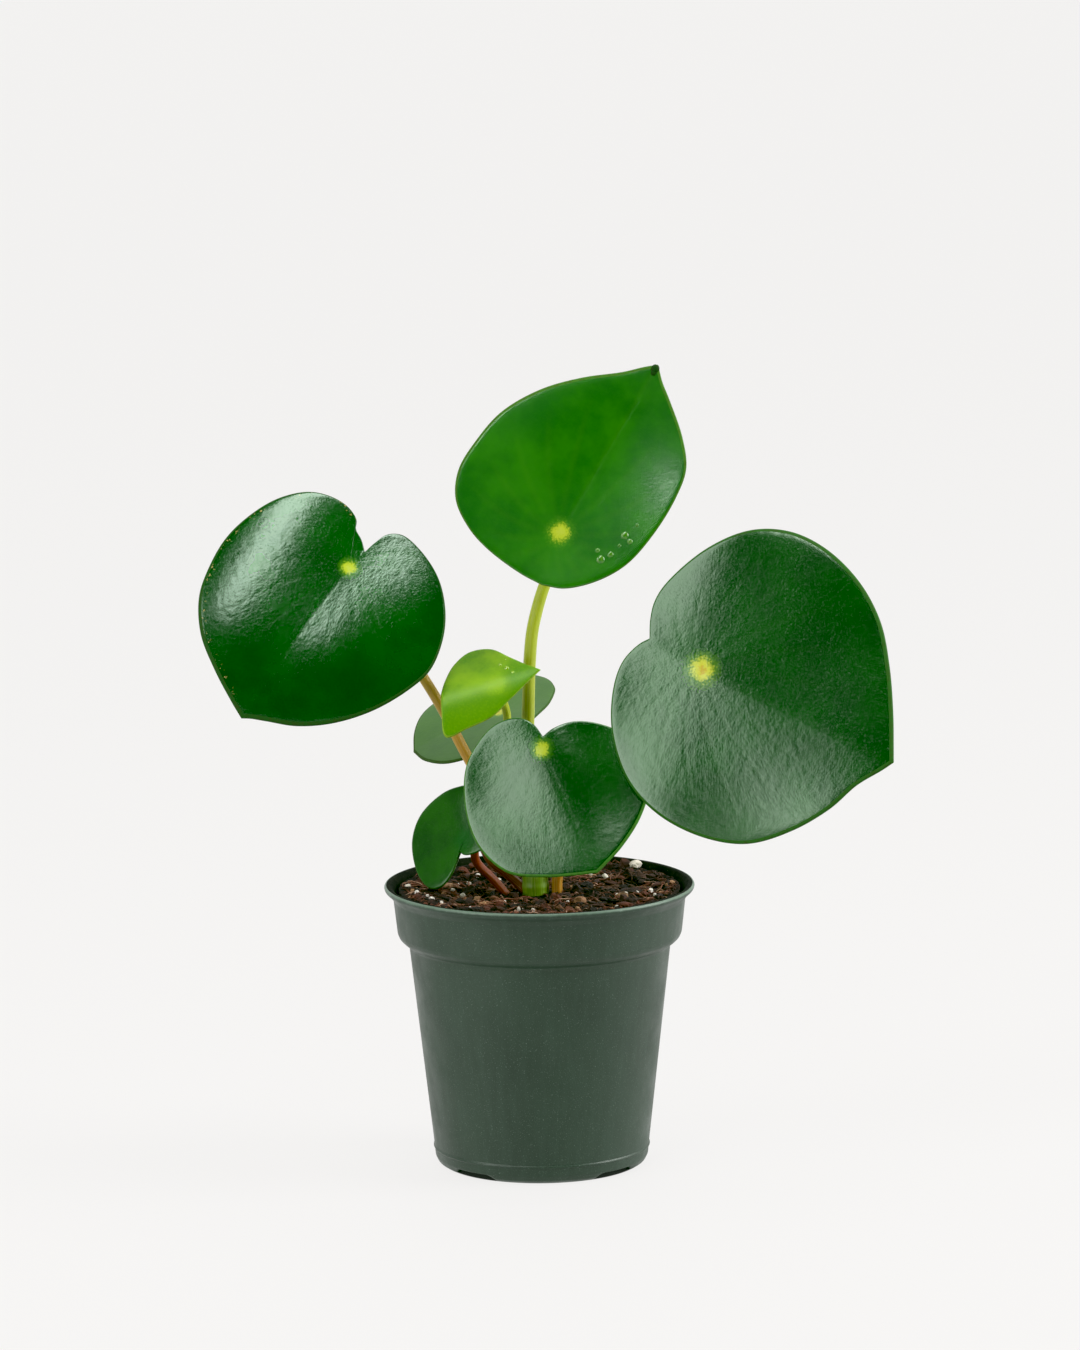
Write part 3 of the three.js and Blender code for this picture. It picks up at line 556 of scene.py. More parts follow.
def blade_finish(name, deep, bright, spot, gloss=0.2, shine=0.9, through=0.0, quilt=1.0, veins=0.008,
                 spot_size=1.0, worn=0.0, painted_shade=0.0, cool=0.8):
    """The upper face of a leaf: from deep to bright green in broad clouds, with faint veins and midrib
    and a ragged spot over the stalk. Its bump is lumps, fine pits and sparse pores, as strong as quilt.
    gloss is its roughness, shine the strength of its sheen and cool the blue in it, through the light
    that passes through, worn the tan chips near the margin right of the midrib, and painted_shade how
    strongly the blade right of it is painted deep green as shade."""
    f = Finish(name)
    place, x, y, reach, aside = blade_places(f)
    vein = f.math("MULTIPLY", f.ease(aside, 0.1, 2.2, 1.0, 0.0), f.ease(reach, 2.0, 9.0))
    vein = f.math("MULTIPLY", vein, f.ease(f.value("share"), 0.6, 0.95, 1.0, 0.0))
    rib = f.math("MULTIPLY", f.ease(f.math("ABSOLUTE", x), 0.2, 1.3, 1.0, 0.0), f.ease(y, 0.0, 6.0))

    broad = f.noise(place, 0.045, 4.0, 0.6)
    lumps = f.noise(place, 0.32, 3.0, 0.55)
    pits = f.noise(place, 1.3, 3.0, 0.6)
    colour = f.mix(f.ease(broad, 0.35, 0.65), deep, bright)
    # Painted shade: the blade right of the midrib is mixed towards deep green, for the shade on a folded
    # leaf's turned-away half.
    colour = f.mix(f.ease(x, -3.0, 4.0, 0.0, painted_shade), colour, deep)
    colour = f.mix(f.ease(pits, 0.4, 0.75, 0.0, 0.25), colour, bright)
    colour = f.mix(f.math("MULTIPLY", f.math("MAXIMUM", vein, rib), veins), colour, spot[0])
    ragged = f.math("ADD", f.math("MULTIPLY", lumps, 3.0), f.math("MULTIPLY", pits, 4.0))
    star = f.math("ADD", f.math("DIVIDE", reach, spot_size), f.math("SUBTRACT", ragged, 3.5))
    colour = f.mix(f.ease(star, 2.4, 6.4, 0.6, 0.0), colour, spot[0])
    colour = f.mix(f.ease(star, 1.8, 4.0, 1.0, 0.0), colour, spot[1])
    colour = f.mix(f.ease(star, 0.3, 1.8, 0.7, 0.0), colour, spot[2])
    chips = f.ease(f.noise(place, 0.75, 2.0), 0.62, 0.66)
    chips = f.math("MULTIPLY", chips, f.ease(f.value("inset"), 1.0, 3.2, worn, 0.0))
    chips = f.math("MULTIPLY", chips, f.ease(x, 4.0, 12.0))
    colour = f.mix(chips, colour, srgb("#a8905c"))

    height = f.math("MULTIPLY", lumps, 0.06 * quilt)
    height = f.math("SUBTRACT", height, f.math("MULTIPLY", vein, 0.01 * quilt))
    height = f.math("SUBTRACT", height, f.math("MULTIPLY", rib, 0.015))
    normal = f.bump(height, MM, 1.0)
    normal = f.bump(pits, 0.024 * MM, quilt, normal)
    pores = f.ease(f.noise(place, 1.7, 2.0), 0.58, 0.74)
    normal = f.bump(pores, -0.012 * MM, quilt, normal)
    return f.done(
        colour, gloss, normal, IOR=1.5, Specular_IOR_Level=shine, Specular_Tint=(0.8, 1.0, cool, 1.0),
        Subsurface_Weight=through, Subsurface_Radius=(0.6, 1.0, 0.15), Subsurface_Scale=0.002,
    )


def underside_finish(name, flesh, rib_colour):
    """The lower face of a leaf: paler, nearly matt, with ribs that stand a little proud."""
    f = Finish(name)
    place, _, _, _, aside = blade_places(f)
    fading = f.ease(f.value("share"), 0.5, 0.95, 1.0, 0.0)
    vein = f.math("MULTIPLY", f.ease(aside, 0.2, 1.5, 1.0, 0.0), fading)
    lumps = f.noise(place, 0.4, 4.0)
    colour = f.mix(f.ease(lumps, 0.2, 0.8, 0.0, 0.5), flesh, rib_colour)
    colour = f.mix(f.math("MULTIPLY", vein, 0.6), colour, rib_colour)
    height = f.math("ADD", f.math("MULTIPLY", vein, 0.5), f.math("MULTIPLY", lumps, 0.3))
    return f.done(colour, 0.55, f.bump(height, 0.0008, 0.6), IOR=1.4)


# ---- Pot ---------------------------------------------------------------------------------------


def rounded_profile(points, radius, step):
    """The profile with each corner replaced by a small curve and each stretch longer than step divided.
    A corner's curve runs from a point short of it on one side to a point as far past it on the other."""
    p = np.asarray(points, float)
    result = [p[:1]]
    share = np.linspace(0, 1, 5)[:, None]
    for i in range(1, len(p) - 1):
        before = p[i - 1] - p[i]
        after = p[i + 1] - p[i]
        cut = min(radius, 0.42 * np.linalg.norm(before), 0.42 * np.linalg.norm(after))
        a = p[i] + before / np.linalg.norm(before) * cut
        b = p[i] + after / np.linalg.norm(after) * cut
        start = result[-1][-1]
        pieces = int(np.linalg.norm(a - start) // step)
        if pieces > 0:
            result.append(start + (a - start) * np.linspace(0, 1, pieces + 2)[1:-1, None])
        result.append((1 - share) ** 2 * a + 2 * share * (1 - share) * p[i] + share**2 * b)
    result.append(p[-1:])
    return np.vstack(result)


def outer_wall_radius(z):
    """The tapered wall's outer radius at a height: a straight line from its foot to its top."""
    share = (z - SEAM_Z) / (WALL_TOP_Z - SEAM_Z)
    return WALL_FOOT_RADIUS + (WALL_TOP_RADIUS - WALL_FOOT_RADIUS) * share


def pot_profile():
    """The pot's wall in section, from the axis under the floor, out and up the outside, over the lip and
    down the inside to the axis again."""
    return [
        [0, 0], [PAD_RADIUS, 0], [PAD_RADIUS + 0.8, FLOOR_BOTTOM], [FOOT_INNER_RADIUS - 0.8, FLOOR_BOTTOM],
        [FOOT_INNER_RADIUS, 0], [FOOT_RADIUS, 0], [FOOT_RADIUS + 1.6, 1.0], [FOOT_RADIUS + 2.5, 2.8],
        [WALL_FOOT_RADIUS, SEAM_Z - 0.5], [WALL_FOOT_RADIUS + SEAM_PROUD, SEAM_Z - 0.2],
        [WALL_FOOT_RADIUS + SEAM_PROUD, SEAM_Z + 0.2], [outer_wall_radius(SEAM_Z + 0.6), SEAM_Z + 0.6],
        [WALL_TOP_RADIUS, WALL_TOP_Z], [WALL_TOP_RADIUS + 0.4, WALL_TOP_Z + 0.8],
        [WALL_TOP_RADIUS + 2, WALL_TOP_Z + 1.8], [BAND_FOOT_RADIUS - 0.6, WALL_TOP_Z + 3.1],
        [BAND_FOOT_RADIUS, POT_HEIGHT - BAND_DROP], [BAND_TOP_RADIUS, POT_HEIGHT - LIP_DROP],
        [LIP_RADIUS - 1.8, POT_HEIGHT - 2.9], [LIP_RADIUS - 0.3, POT_HEIGHT - 1.6],
        [LIP_RADIUS, POT_HEIGHT - 0.7], [LIP_RADIUS - 0.4, POT_HEIGHT],
        [LIP_RADIUS - 0.8, POT_HEIGHT], [LIP_RADIUS - LIP_WIDTH + 0.4, POT_HEIGHT],
        [LIP_RADIUS - LIP_WIDTH, POT_HEIGHT - 0.3], [LIP_RADIUS - LIP_WIDTH - 0.8, POT_HEIGHT - 1.2],
        [BAND_TOP_RADIUS - WALL, POT_HEIGHT - LIP_DROP + 0.6],
        [BAND_FOOT_RADIUS - WALL, POT_HEIGHT - BAND_DROP + 1.4], [WALL_TOP_RADIUS + 1.2, WALL_TOP_Z + 2.2],
        [WALL_TOP_RADIUS - WALL, WALL_TOP_Z + 0.7],
        [outer_wall_radius(FLOOR_TOP + 1.4) - WALL, FLOOR_TOP + 1.4],
        [outer_wall_radius(FLOOR_TOP) - WALL - 1.2, FLOOR_TOP], [0, FLOOR_TOP],
    ]


def notch_share(angle):
    """1 in the middle of a drain notch, 0 away from it, with a straight slope between."""
    offsets = np.radians(NOTCH_OFFSET - 90 + 360 / NOTCH_COUNT * np.arange(NOTCH_COUNT))
    away = np.abs((angle[:, None] - offsets + pi) % (2 * pi) - pi).min(1) * FOOT_RADIUS
    half = NOTCH_WIDTH / 2
    return np.clip((half + NOTCH_SLOPE / 2 - away) / NOTCH_SLOPE, 0, 1)


def make_pot(material, inside_shade):
    """The profile carried round the axis. In a notch each point below the notch's height is lifted
    towards it. The inside, from the top of the lip down to the floor, is painted nearly black as shade."""
    around = POT_AROUND
    profile = rounded_profile(pot_profile(), POT_CORNER, POT_STEP)[1:-1]
    angle = np.linspace(0, 2 * pi, around, endpoint=False)
    radius, z = profile[:, :1], profile[:, 1:]
    x = radius * np.cos(angle)
    y = radius * np.sin(angle)
    share = notch_share(angle) * smoothstep(FOOT_INNER_RADIUS - 3, FOOT_INNER_RADIUS - 0.9, radius)
    lifted = np.where(z < NOTCH_HEIGHT, NOTCH_HEIGHT - (NOTCH_HEIGHT - z) * (1 - 0.97 * share), z)
    points = np.stack([x, y, lifted], -1).reshape(-1, 3)
    rings = len(profile)
    points = np.vstack([points, [[0, 0, 0], [0, 0, FLOOR_TOP]]])
    past_lip = np.arange(rings - 1) > np.argmax(radius[:, 0])
    inside = past_lip & (radius[:-1, 0] < LIP_RADIUS - 0.7)
    underside, floor = np.zeros(around, int), np.ones(around, int)
    slots = np.concatenate([np.repeat(inside.astype(int), around), underside, floor])
    pot = make_piece("pot_shell", points, closed_faces(rings, around), [material, inside_shade], slots)
    cut_drains(pot)
    return pot


def cut_drains(pot):
    """Cuts the round drain holes through the floor, one behind each notch."""
    for i in range(NOTCH_COUNT):
        angle = radians(NOTCH_OFFSET - 90 + 360 / NOTCH_COUNT * i)
        middle = np.array([DRAIN_DISTANCE * cos(angle), DRAIN_DISTANCE * sin(angle)])
        turn = np.linspace(0, 2 * pi, DRAIN_AROUND, endpoint=False)
        circle = middle + DRAIN_RADIUS * np.stack([np.cos(turn), np.sin(turn)], 1)
        low = np.column_stack([circle, np.full(DRAIN_AROUND, DRAIN_LOW)])
        high = np.column_stack([circle, np.full(DRAIN_AROUND, DRAIN_HIGH)])
        ends = [[*middle, DRAIN_LOW], [*middle, DRAIN_HIGH]]
        plug = make_piece("drain_plug", np.vstack([low, high, ends]), closed_faces(2, DRAIN_AROUND), [])
        cut = pot.modifiers.new("drain", "BOOLEAN")
        cut.operation = "DIFFERENCE"
        cut.solver = "EXACT"
        cut.object = plug
        bpy.context.view_layer.objects.active = pot
        bpy.ops.object.modifier_apply(modifier=cut.name)
        bpy.data.objects.remove(plug)


# ---- Leaves and stalks -------------------------------------------------------------------------


def leaf_normal(facing):
    """The direction that the upper face looks in, from its elevation and its azimuth off the front."""
    rise, swing = radians(facing[0]), radians(facing[1])
    return np.array([sin(swing) * cos(rise), -cos(swing) * cos(rise), sin(rise)])


def leaf_axes(leaf):
    """The blade's own axes in the plant: across, along the midrib, and out of the upper face."""
    normal = leaf_normal(leaf["facing"])
    level = np.cross(normal, [0, 0, 1])
    level = level / np.linalg.norm(level)
    up_slope = np.cross(level, normal)
    turn = radians(leaf["turn"])
    midrib = -cos(turn) * up_slope + sin(turn) * level
    return np.cross(midrib, normal), midrib, normal


def leaf_swell(leaf, x, y):
    """Broad shallow swells and dents: round each of the leaf's places a bell curve of its own height,
    which falls off over the leaf's spread, and a slight lean."""
    lean = leaf.get("lean", [0, 0])
    height = lean[0] * x + lean[1] * y
    for at_x, at_y, rise in leaf.get("swells", []):
        away = ((x - at_x) ** 2 + (y - at_y) ** 2) / leaf["spread"] ** 2
        height = height + rise * np.exp(-away / 2)
    return height


def leaf_height(leaf, x, y):
    """Height of the blade's middle surface: a dome that falls with the square of the distance from the
    stalk, a valley or ridge along the midrib that is rounded over the fold's width, a lifted tip, waves
    towards the margin, and the leaf's swells, all measured from the stalk."""
    dome, size, groove, tip, wave, waves = leaf["form"]
    fold = leaf["fold"]
    reach = np.hypot(x, y) / size
    valley = groove * (np.sqrt(x * x + fold**2) - fold)
    lift = 0.3 * tip * (np.maximum(y, 0) / size) ** 3
    ripple = wave * reach**3 * np.sin(waves * np.arctan2(x, y))
    swell = leaf_swell(leaf, x, y) - leaf_swell(leaf, np.zeros(1), np.zeros(1))
    return -dome * reach**2 + valley + lift + ripple + swell


def leaf_margin(leaf, samples):
    """The margin as a closed loop from the notch: up the right side to the tip and down the left."""
    right = curve_through([leaf["notch"], *leaf["right"], leaf["tip"]], samples + 1)
    left = curve_through([leaf["notch"], *leaf["left"], leaf["tip"]], samples + 1)
    return np.vstack([right[:-1], left[::-1][:-1]])


def make_leaf(name, upper, under, margin_line):
    """The blade: rings that are the margin shrunk towards the stalk, from the middle of the upper face
    out over the rounded margin and back under to the middle of the lower face. Half the thickness is
    taken off at the margin as on a quarter circle, and a narrow band along it curls down a little. Each
    point carries its share of the way out and its inset from the margin in millimetres."""
    leaf = LEAVES[name]
    margin = leaf_margin(leaf, MARGIN_STEPS)
    around = len(margin)
    out = np.linspace(0, 1, BLADE_RINGS + 1)[1:]
    share = 1 - (1 - out) ** 1.35
    share = np.concatenate([share[:-1], [0.996, 1.0]])
    both = np.concatenate([share, share[-2::-1]])
    face = np.concatenate([np.ones(len(share) - 1), [0], -np.ones(len(share) - 1)])
    size = np.linalg.norm(margin, axis=1)
    x = both[:, None] * margin[:, 0]
    y = both[:, None] * margin[:, 1]
    inset = (1 - both[:, None]) * size
    rim = np.clip(1 - inset / (0.5 * leaf["blade"]), 0, 1)
    thick = 0.5 * leaf["blade"] * np.sqrt(np.clip(1 - rim**2, 0, 1))
    axes = np.array(leaf_axes(leaf))
    curl = CURL_DEPTH * np.clip(1 - inset / CURL_WIDTH, 0, 1) ** 2
    height = leaf_height(leaf, x, y) - curl + face[:, None] * thick
    flat = np.stack([x, y, height], -1).reshape(-1, 3)
    middle = leaf["blade"] / 2
    flat = np.vstack([flat, [[0, 0, middle], [0, 0, -middle]]])
    points = flat @ axes + leaf["at"]
    count = len(both)
    faces = closed_faces(count, around, turned_over=True)
    slots = (np.arange(count - 1) >= len(share) - 1).astype(int)
    slots[np.minimum(both[:-1], both[1:]) > MARGIN_START] = 2
    slots = np.concatenate([np.repeat(slots, around), np.zeros(around), np.ones(around)])
    uv = flat[:, :2] / PATTERN_SPAN + 0.5
    at_stalk = size.min()
    values = {
        "share": np.concatenate([np.repeat(both, around), [0, 0]]),
        "inset": np.concatenate([inset.ravel(), [at_stalk, at_stalk]]),
    }
    piece = make_piece(f"blade_{name}", points, faces, [upper, under, margin_line], slots, uv, values)
    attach(piece, "root")
    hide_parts(f"leaf_{name}")


def make_drops(name, leaf_name, drops, material):
    """Small beads on a leaf's upper face: balls pressed flat against it. drops holds each one's place
    across and along the blade and its radius."""
    leaf = LEAVES[leaf_name]
    ball, faces = ball_template()
    x, y, size = np.array(drops).T
    height = leaf_height(leaf, x, y) + leaf["blade"] / 2
    shape = ball[None] * size[:, None, None] * [1, 1, 0.4]
    flat = (shape + np.column_stack([x, y, height])[:, None]).reshape(-1, 3)
    points = flat @ np.array(leaf_axes(leaf)) + leaf["at"]
    piece = make_piece(name, points, [copied_faces(faces, len(x), len(ball))], [material])
    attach(piece, "root")


def drop_finish(name, colour):
    """Clear sap drops that show the leaf through them: the leaf's colour under a hard gloss."""
    f = Finish(name)
    cloud = f.noise(f.object_place(), 1200.0)
    tint = f.mix(f.ease(cloud, 0.3, 0.7, 0.0, 0.3), colour, srgb("#7fa03c"))
    return f.done(tint, 0.08, Specular_IOR_Level=0.9)


def round_stalk(name, path, radius_at, material, sides=28, step=0.7, dome=0.0):
    """A round bar along a smooth path. Each ring's centre is on the path, and its points lie at
    radius_at(share of length, angle) across it. The ends close on one point each, and the last of them
    stands dome past its ring."""
    length = np.linalg.norm(np.diff(curve_through(path, 200), axis=0), axis=1).sum()
    rings = max(12, int(length / step))
    centre = curve_through(path, rings)
    along = np.gradient(centre, axis=0)
    along = along / np.linalg.norm(along, axis=1)[:, None]
    sideways = np.array([1.0, 0, 0]) - along[:, :1] * along
    sideways = sideways / np.linalg.norm(sideways, axis=1)[:, None]
    across = np.cross(along, sideways)
    angle = np.linspace(0, 2 * pi, sides, endpoint=False)
    share = np.linspace(0, 1, rings)
    radius = radius_at(share[:, None], angle[None, :])[..., None]
    ring = np.cos(angle)[:, None] * sideways[:, None] + np.sin(angle)[:, None] * across[:, None]
    points = (centre[:, None] + radius * ring).reshape(-1, 3)
    points = np.vstack([points, centre[:1], centre[-1:] + along[-1:] * dome])
    turn = np.abs(angle / pi - 1)
    uv = np.stack(np.broadcast_arrays(turn[None, :], share[:, None]), -1).reshape(-1, 2)
    uv = np.vstack([uv, [[0.5, 0], [0.5, 1]]])
    return make_piece(name, points, closed_faces(rings, sides), [material], uv=uv)


def make_leaf_stalk(name, material):
    """The stalk from inside the stem to the underside of its leaf, swelling a little at both ends. Five
    shallow ribs run along it, and its radius goes evenly from foot to head."""
    leaf = LEAVES[name]
    stalk = STALKS[name]
    normal = leaf_normal(leaf["facing"])
    ridge = max(0, -leaf["form"][2])
    under = [np.array(leaf["at"]) - normal * d for d in (4.5, leaf["blade"] / 2 + 0.3 + ridge, 0.1)]
    path = [*stalk["path"], *[list(p) for p in under]]
    foot, head = stalk["radii"]

    def radius_at(share, angle):
        swell = 0.35 * smoothstep(0.93, 1, share) + 0.3 * smoothstep(0.16, 0, share)
        ribbed = 1 + 0.015 * np.cos(5 * angle) + 0.01 * np.sin(23 * share + angle)
        return (foot + (head - foot) * share + swell) * ribbed

    piece = round_stalk(f"stalk_{name}", path, radius_at, material)
    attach(piece, "root")
    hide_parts(f"leaf_stalk_{name}")


def make_stem(material):
    """The main stem: a thick bar, narrow in the soil, with a swollen ring at each leaf's joint and a
    rounded top."""
    joints = np.array([0.62, 0.72, 0.83, 0.92])

    def radius_at(share, angle):
        foot = 0.55 + 0.45 * smoothstep(0, 0.4, share)
        taper = 1 - 0.14 * smoothstep(0.5, 0.95, share)
        top = np.sqrt(1 - 0.8 * np.clip((share - 0.955) / 0.045, 0, 1) ** 2)
        rings = sum(0.05 * np.exp(-(((share - joint) / 0.012) ** 2)) for joint in joints)
        ridges = 0.025 * np.cos(3 * angle + 4 * share)
        return STEM_RADIUS * foot * taper * top * (1 + rings + ridges)

    piece = round_stalk("stem", STEM_PATH, radius_at, material, sides=48, step=0.5, dome=0.6)
    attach(piece, "root")
    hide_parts("main_stem")


# ---- Soil --------------------------------------------------------------------------------------

rng = np.random.default_rng(7)


def soil_lumps():
    """The lumps and hollows of the plant's soil: place, width and height of each."""
    draw = seeded(5)
    lumps = []
    for _ in range(SOIL_LUMPS):
        angle = 2 * pi * next(draw)
        distance = SOIL_REACH * next(draw) ** 0.5
        width = 2 + 3.2 * next(draw)
        height = 2.2 * (next(draw) - 0.42)
        lumps.append((distance * cos(angle), distance * sin(angle), width, height))
    return lumps


LUMPS = soil_lumps()


def soil_height(x, y):
    """A shallow dish round the stem, banked up at the wall, plus one bell curve for each lump."""
    edge = BAND_TOP_RADIUS - WALL
    z = SOIL_LEVEL + SOIL_RISE * (x * x + y * y) / edge**2 + 0.9 * smoothstep(38, 46, np.hypot(x, y))
    for lump_x, lump_y, width, height in LUMPS:
        z = z + height * np.exp(-((x - lump_x) ** 2 + (y - lump_y) ** 2) / width**2)
    return z


def crumble(x, y):
    """Fine unevenness: sines of three sizes, crossed in turned directions."""
    z = 0.0
    for size, height, turn in ((3.1, 0.5, 0.4), (1.7, 0.35, 1.3), (0.9, 0.2, 2.2)):
        u = (x * cos(turn) + y * sin(turn)) / size
        v = (y * cos(turn) - x * sin(turn)) / size
        z = z + height * np.sin(u + 1.7 * np.sin(v)) * np.sin(v + 1.3 * np.sin(u))
    return z


def make_soil(material):
    """A plug that fills the pot: rings of the lumpy top, then down the pot's inner wall to the floor."""
    around = SOIL_AROUND
    angle = np.linspace(0, 2 * pi, around, endpoint=False)
    edge = BAND_TOP_RADIUS - WALL
    radius = np.linspace(0.6, edge - 0.5, SOIL_RINGS)
    x = radius[:, None] * np.cos(angle)
    y = radius[:, None] * np.sin(angle)
    inside = smoothstep(edge - 0.5, edge - 4, radius)[:, None]
    z = soil_height(x, y) + crumble(x, y) * (0.4 + 0.6 * inside)
    side = np.array([
        [BAND_FOOT_RADIUS - WALL - SOIL_GAP, POT_HEIGHT - BAND_DROP + 1.4],
        [WALL_TOP_RADIUS + 1.2 - SOIL_GAP, WALL_TOP_Z + 2.4],
        [WALL_TOP_RADIUS - WALL - SOIL_GAP, WALL_TOP_Z + 0.7],
        [outer_wall_radius(FLOOR_TOP + 1.4) - WALL - SOIL_GAP, FLOOR_TOP + 1.6],
        [outer_wall_radius(FLOOR_TOP) - WALL - 1.2 - SOIL_GAP, FLOOR_TOP + 0.3],
    ])
    out, up = side[:, :1], side[:, 1:]
    wall = np.stack(np.broadcast_arrays(out * np.cos(angle), out * np.sin(angle), up), -1)
    grid = np.vstack([np.stack([x, y, z], -1), wall])
    top = [0, 0, float(soil_height(0.0, 0.0))]
    points = np.vstack([grid.reshape(-1, 3), [top, [0, 0, FLOOR_TOP + 0.3]]])
    faces = closed_faces(len(grid), around, turned_over=True)
    piece = make_piece("potting_mix", points, faces, [material])
    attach(piece, "root")
    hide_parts("soil")


def ball_template():
    """A ball of 42 points: an icosahedron's corners and the middles of its edges."""
    gold = (1 + 5**0.5) / 2
    base = [[0, s, t * gold] for s in (-1, 1) for t in (-1, 1)]
    base += [[s, t * gold, 0] for s in (-1, 1) for t in (-1, 1)]
    base += [[t * gold, 0, s] for s in (-1, 1) for t in (-1, 1)]
    p = np.array(base, float)
    close = np.linalg.norm(p[:, None] - p, axis=2) < 2.1
    points = [tuple(v) for v in p]
    index = {}
    faces = []
    for i, j, k in combinations(range(12), 3):
        if not (close[i, j] and close[j, k] and close[i, k]):
            continue
        if np.dot(np.cross(p[j] - p[i], p[k] - p[i]), p[i]) < 0:
            j, k = k, j
        middles = []
        for a, b in ((i, j), (j, k), (k, i)):
            key = (min(a, b), max(a, b))
            if key not in index:
                index[key] = len(points)
                points.append(tuple((p[a] + p[b]) / 2))
            middles.append(index[key])
        a, b, c = middles
        faces += [(i, a, c), (j, b, a), (k, c, b), (a, b, c)]
    points = np.array(points)
    return points / np.linalg.norm(points, axis=1)[:, None], np.array(faces)


def turned(points, yaw, tilt):
    """Each set of points turned by its own tilt about X and then its own yaw about Z."""
    x, flat_y, flat_z = np.moveaxis(points, -1, 0)
    c, s = np.cos(tilt)[:, None], np.sin(tilt)[:, None]
    y = flat_y * c - flat_z * s
    z = flat_y * s + flat_z * c
    c, s = np.cos(yaw)[:, None], np.sin(yaw)[:, None]
    return np.stack([x * c - y * s, x * s + y * c, z], -1)


def scatter(name, places, sizes, stretch, rough, material, lift):
    """Many small faceted lumps in one mesh: a ball for each place, stretched by its own size along its
    own length, width and height, with each point pushed in or out at random, turned at random, and set
    on the soil so that its middle stands above it by the share lift of its height."""
    ball, faces = ball_template()
    count = len(places)
    push = 1 + rough * (rng.random((count, len(ball), 1)) - 0.5)
    shape = ball[None] * push * (sizes[:, None] * stretch)[:, None, :]
    shape = turned(shape, rng.uniform(0, 2 * pi, count), rng.uniform(-0.5, 0.5, count))
    z = soil_height(places[:, 0], places[:, 1]) + crumble(places[:, 0], places[:, 1])
    z = z + lift * (sizes * stretch[:, 2])
    middle = np.column_stack([places, z])
    points = (shape + middle[:, None]).reshape(-1, 3)
    tone = np.repeat(rng.random(count), len(ball))
    all_faces = copied_faces(faces, count, len(ball))
    piece = make_piece(name, points, [all_faces], [material], values={"tone": tone}, smooth=False)
    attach(piece, "root")


def ring_places(count, inner, outer):
    """Random places on the soil, even over its area, clear of the stem and the wall."""
    angle = rng.uniform(0, 2 * pi, count)
    radius = np.sqrt(rng.uniform(inner**2, outer**2, count))
    return np.column_stack([radius * np.cos(angle), radius * np.sin(angle)])


def make_fibres(count, material):
    """Thin wood fibres: each is an arc of four-sided rings that bows over the soil, tapered at both ends
    by the square root of one less the share squared."""
    steps, sides = 9, 4
    share = np.linspace(-1, 1, steps)
    places = ring_places(count, 6, SOIL_REACH)
    yaw = rng.uniform(0, 2 * pi, count)
    half = rng.uniform(1.2, 4.5, count)
    bow = rng.uniform(-1.2, 1.2, count)
    lift = rng.uniform(-0.3, 1.1, count)
    radius = rng.uniform(0.09, 0.24, count)
    u = half[:, None] * share
    v = bow[:, None] * (1 - share**2)
    x = places[:, :1] + u * np.cos(yaw)[:, None] - v * np.sin(yaw)[:, None]
    y = places[:, 1:] + u * np.sin(yaw)[:, None] + v * np.cos(yaw)[:, None]
    limit = np.minimum(1, FIBRE_REACH / np.hypot(x, y))
    x, y = x * limit, y * limit
    z = soil_height(x, y) + crumble(x, y) + 0.25 + lift[:, None] * (1 - share**2)
    centre = np.stack([x, y, z], -1)
    along = np.gradient(centre, axis=1)
    along = along / np.linalg.norm(along, axis=2)[..., None]
    side = np.cross(along, [0, 0, 1.0])
    side = side / np.linalg.norm(side, axis=2)[..., None]
    up = np.cross(side, along)
    angle = np.linspace(0, 2 * pi, sides, endpoint=False)
    size = radius[:, None] * np.sqrt(1.02 - share**2)
    ring = np.cos(angle)[:, None] * side[:, :, None] + np.sin(angle)[:, None] * up[:, :, None]
    points = centre[:, :, None] + size[..., None, None] * ring
    block = band_faces(steps, sides)
    ends = np.array([[3, 2, 1, 0], [(steps - 1) * sides + k for k in range(sides)]])
    one = np.vstack([block[:, ::-1], ends[:, ::-1]])
    faces = copied_faces(one, count, steps * sides)
    tone = np.repeat(rng.random(count) ** 0.5, steps * sides)
    piece = make_piece("wood_fibres", points.reshape(-1, 3), [faces], [material], values={"tone": tone})
    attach(piece, "root")


# ---- Stage -------------------------------------------------------------------------------------

FLOOR_REACH = 14000


def make_floor():
    """A wide pale floor that glows evenly, so that it keeps one tone all the way back, and takes only a
    soft shadow. Under the pot its glow is cut nearly to black, a painted contact shadow."""
    f = Finish("studio_floor")
    away = f.length(f.object_place())
    # Painted contact shadow: inside the pot's foot the floor's glow falls nearly to black.
    painted_contact_shadow = f.ease(away, (FOOT_RADIUS - 0.5) * MM, (FOOT_RADIUS + 0.2) * MM, 1.0, 0.0)
    glow = f.mix(painted_contact_shadow, (1.0, 0.99, 0.98, 1.0), (0.02, 0.02, 0.02, 1.0))
    material = f.done(srgb("#2a2928"), 0.9, Emission_Color=glow, Emission_Strength=0.83)
    reach = FLOOR_REACH
    points = [[-reach, -reach, 0], [reach, -reach, 0], [reach, reach, 0], [-reach, reach, 0]]
    floor = make_piece("floor", np.array(points, float), [np.array([[0, 1, 2, 3]])], [material])


def softbox(name, place, aim, width, height, glow, spin=0.0):
    """A plain rectangular softbox that looks from place to aim, turned by spin about that line. Its power
    grows with its area, so that glow alone says how bright its face is."""
    data = bpy.data.lights.new(name, "AREA")
    data.shape = "RECTANGLE"
    data.size = width
    data.size_y = height
    data.energy = 4 * glow * width * height
    light = bpy.data.objects.new(name, data)
    bpy.context.scene.collection.objects.link(light)
    look = (Vector(aim) - Vector(place)).to_track_quat("-Z", "Y").to_matrix().to_4x4()
    light.matrix_world = Matrix.Translation(place) @ look @ Matrix.Rotation(spin, 4, "Z")


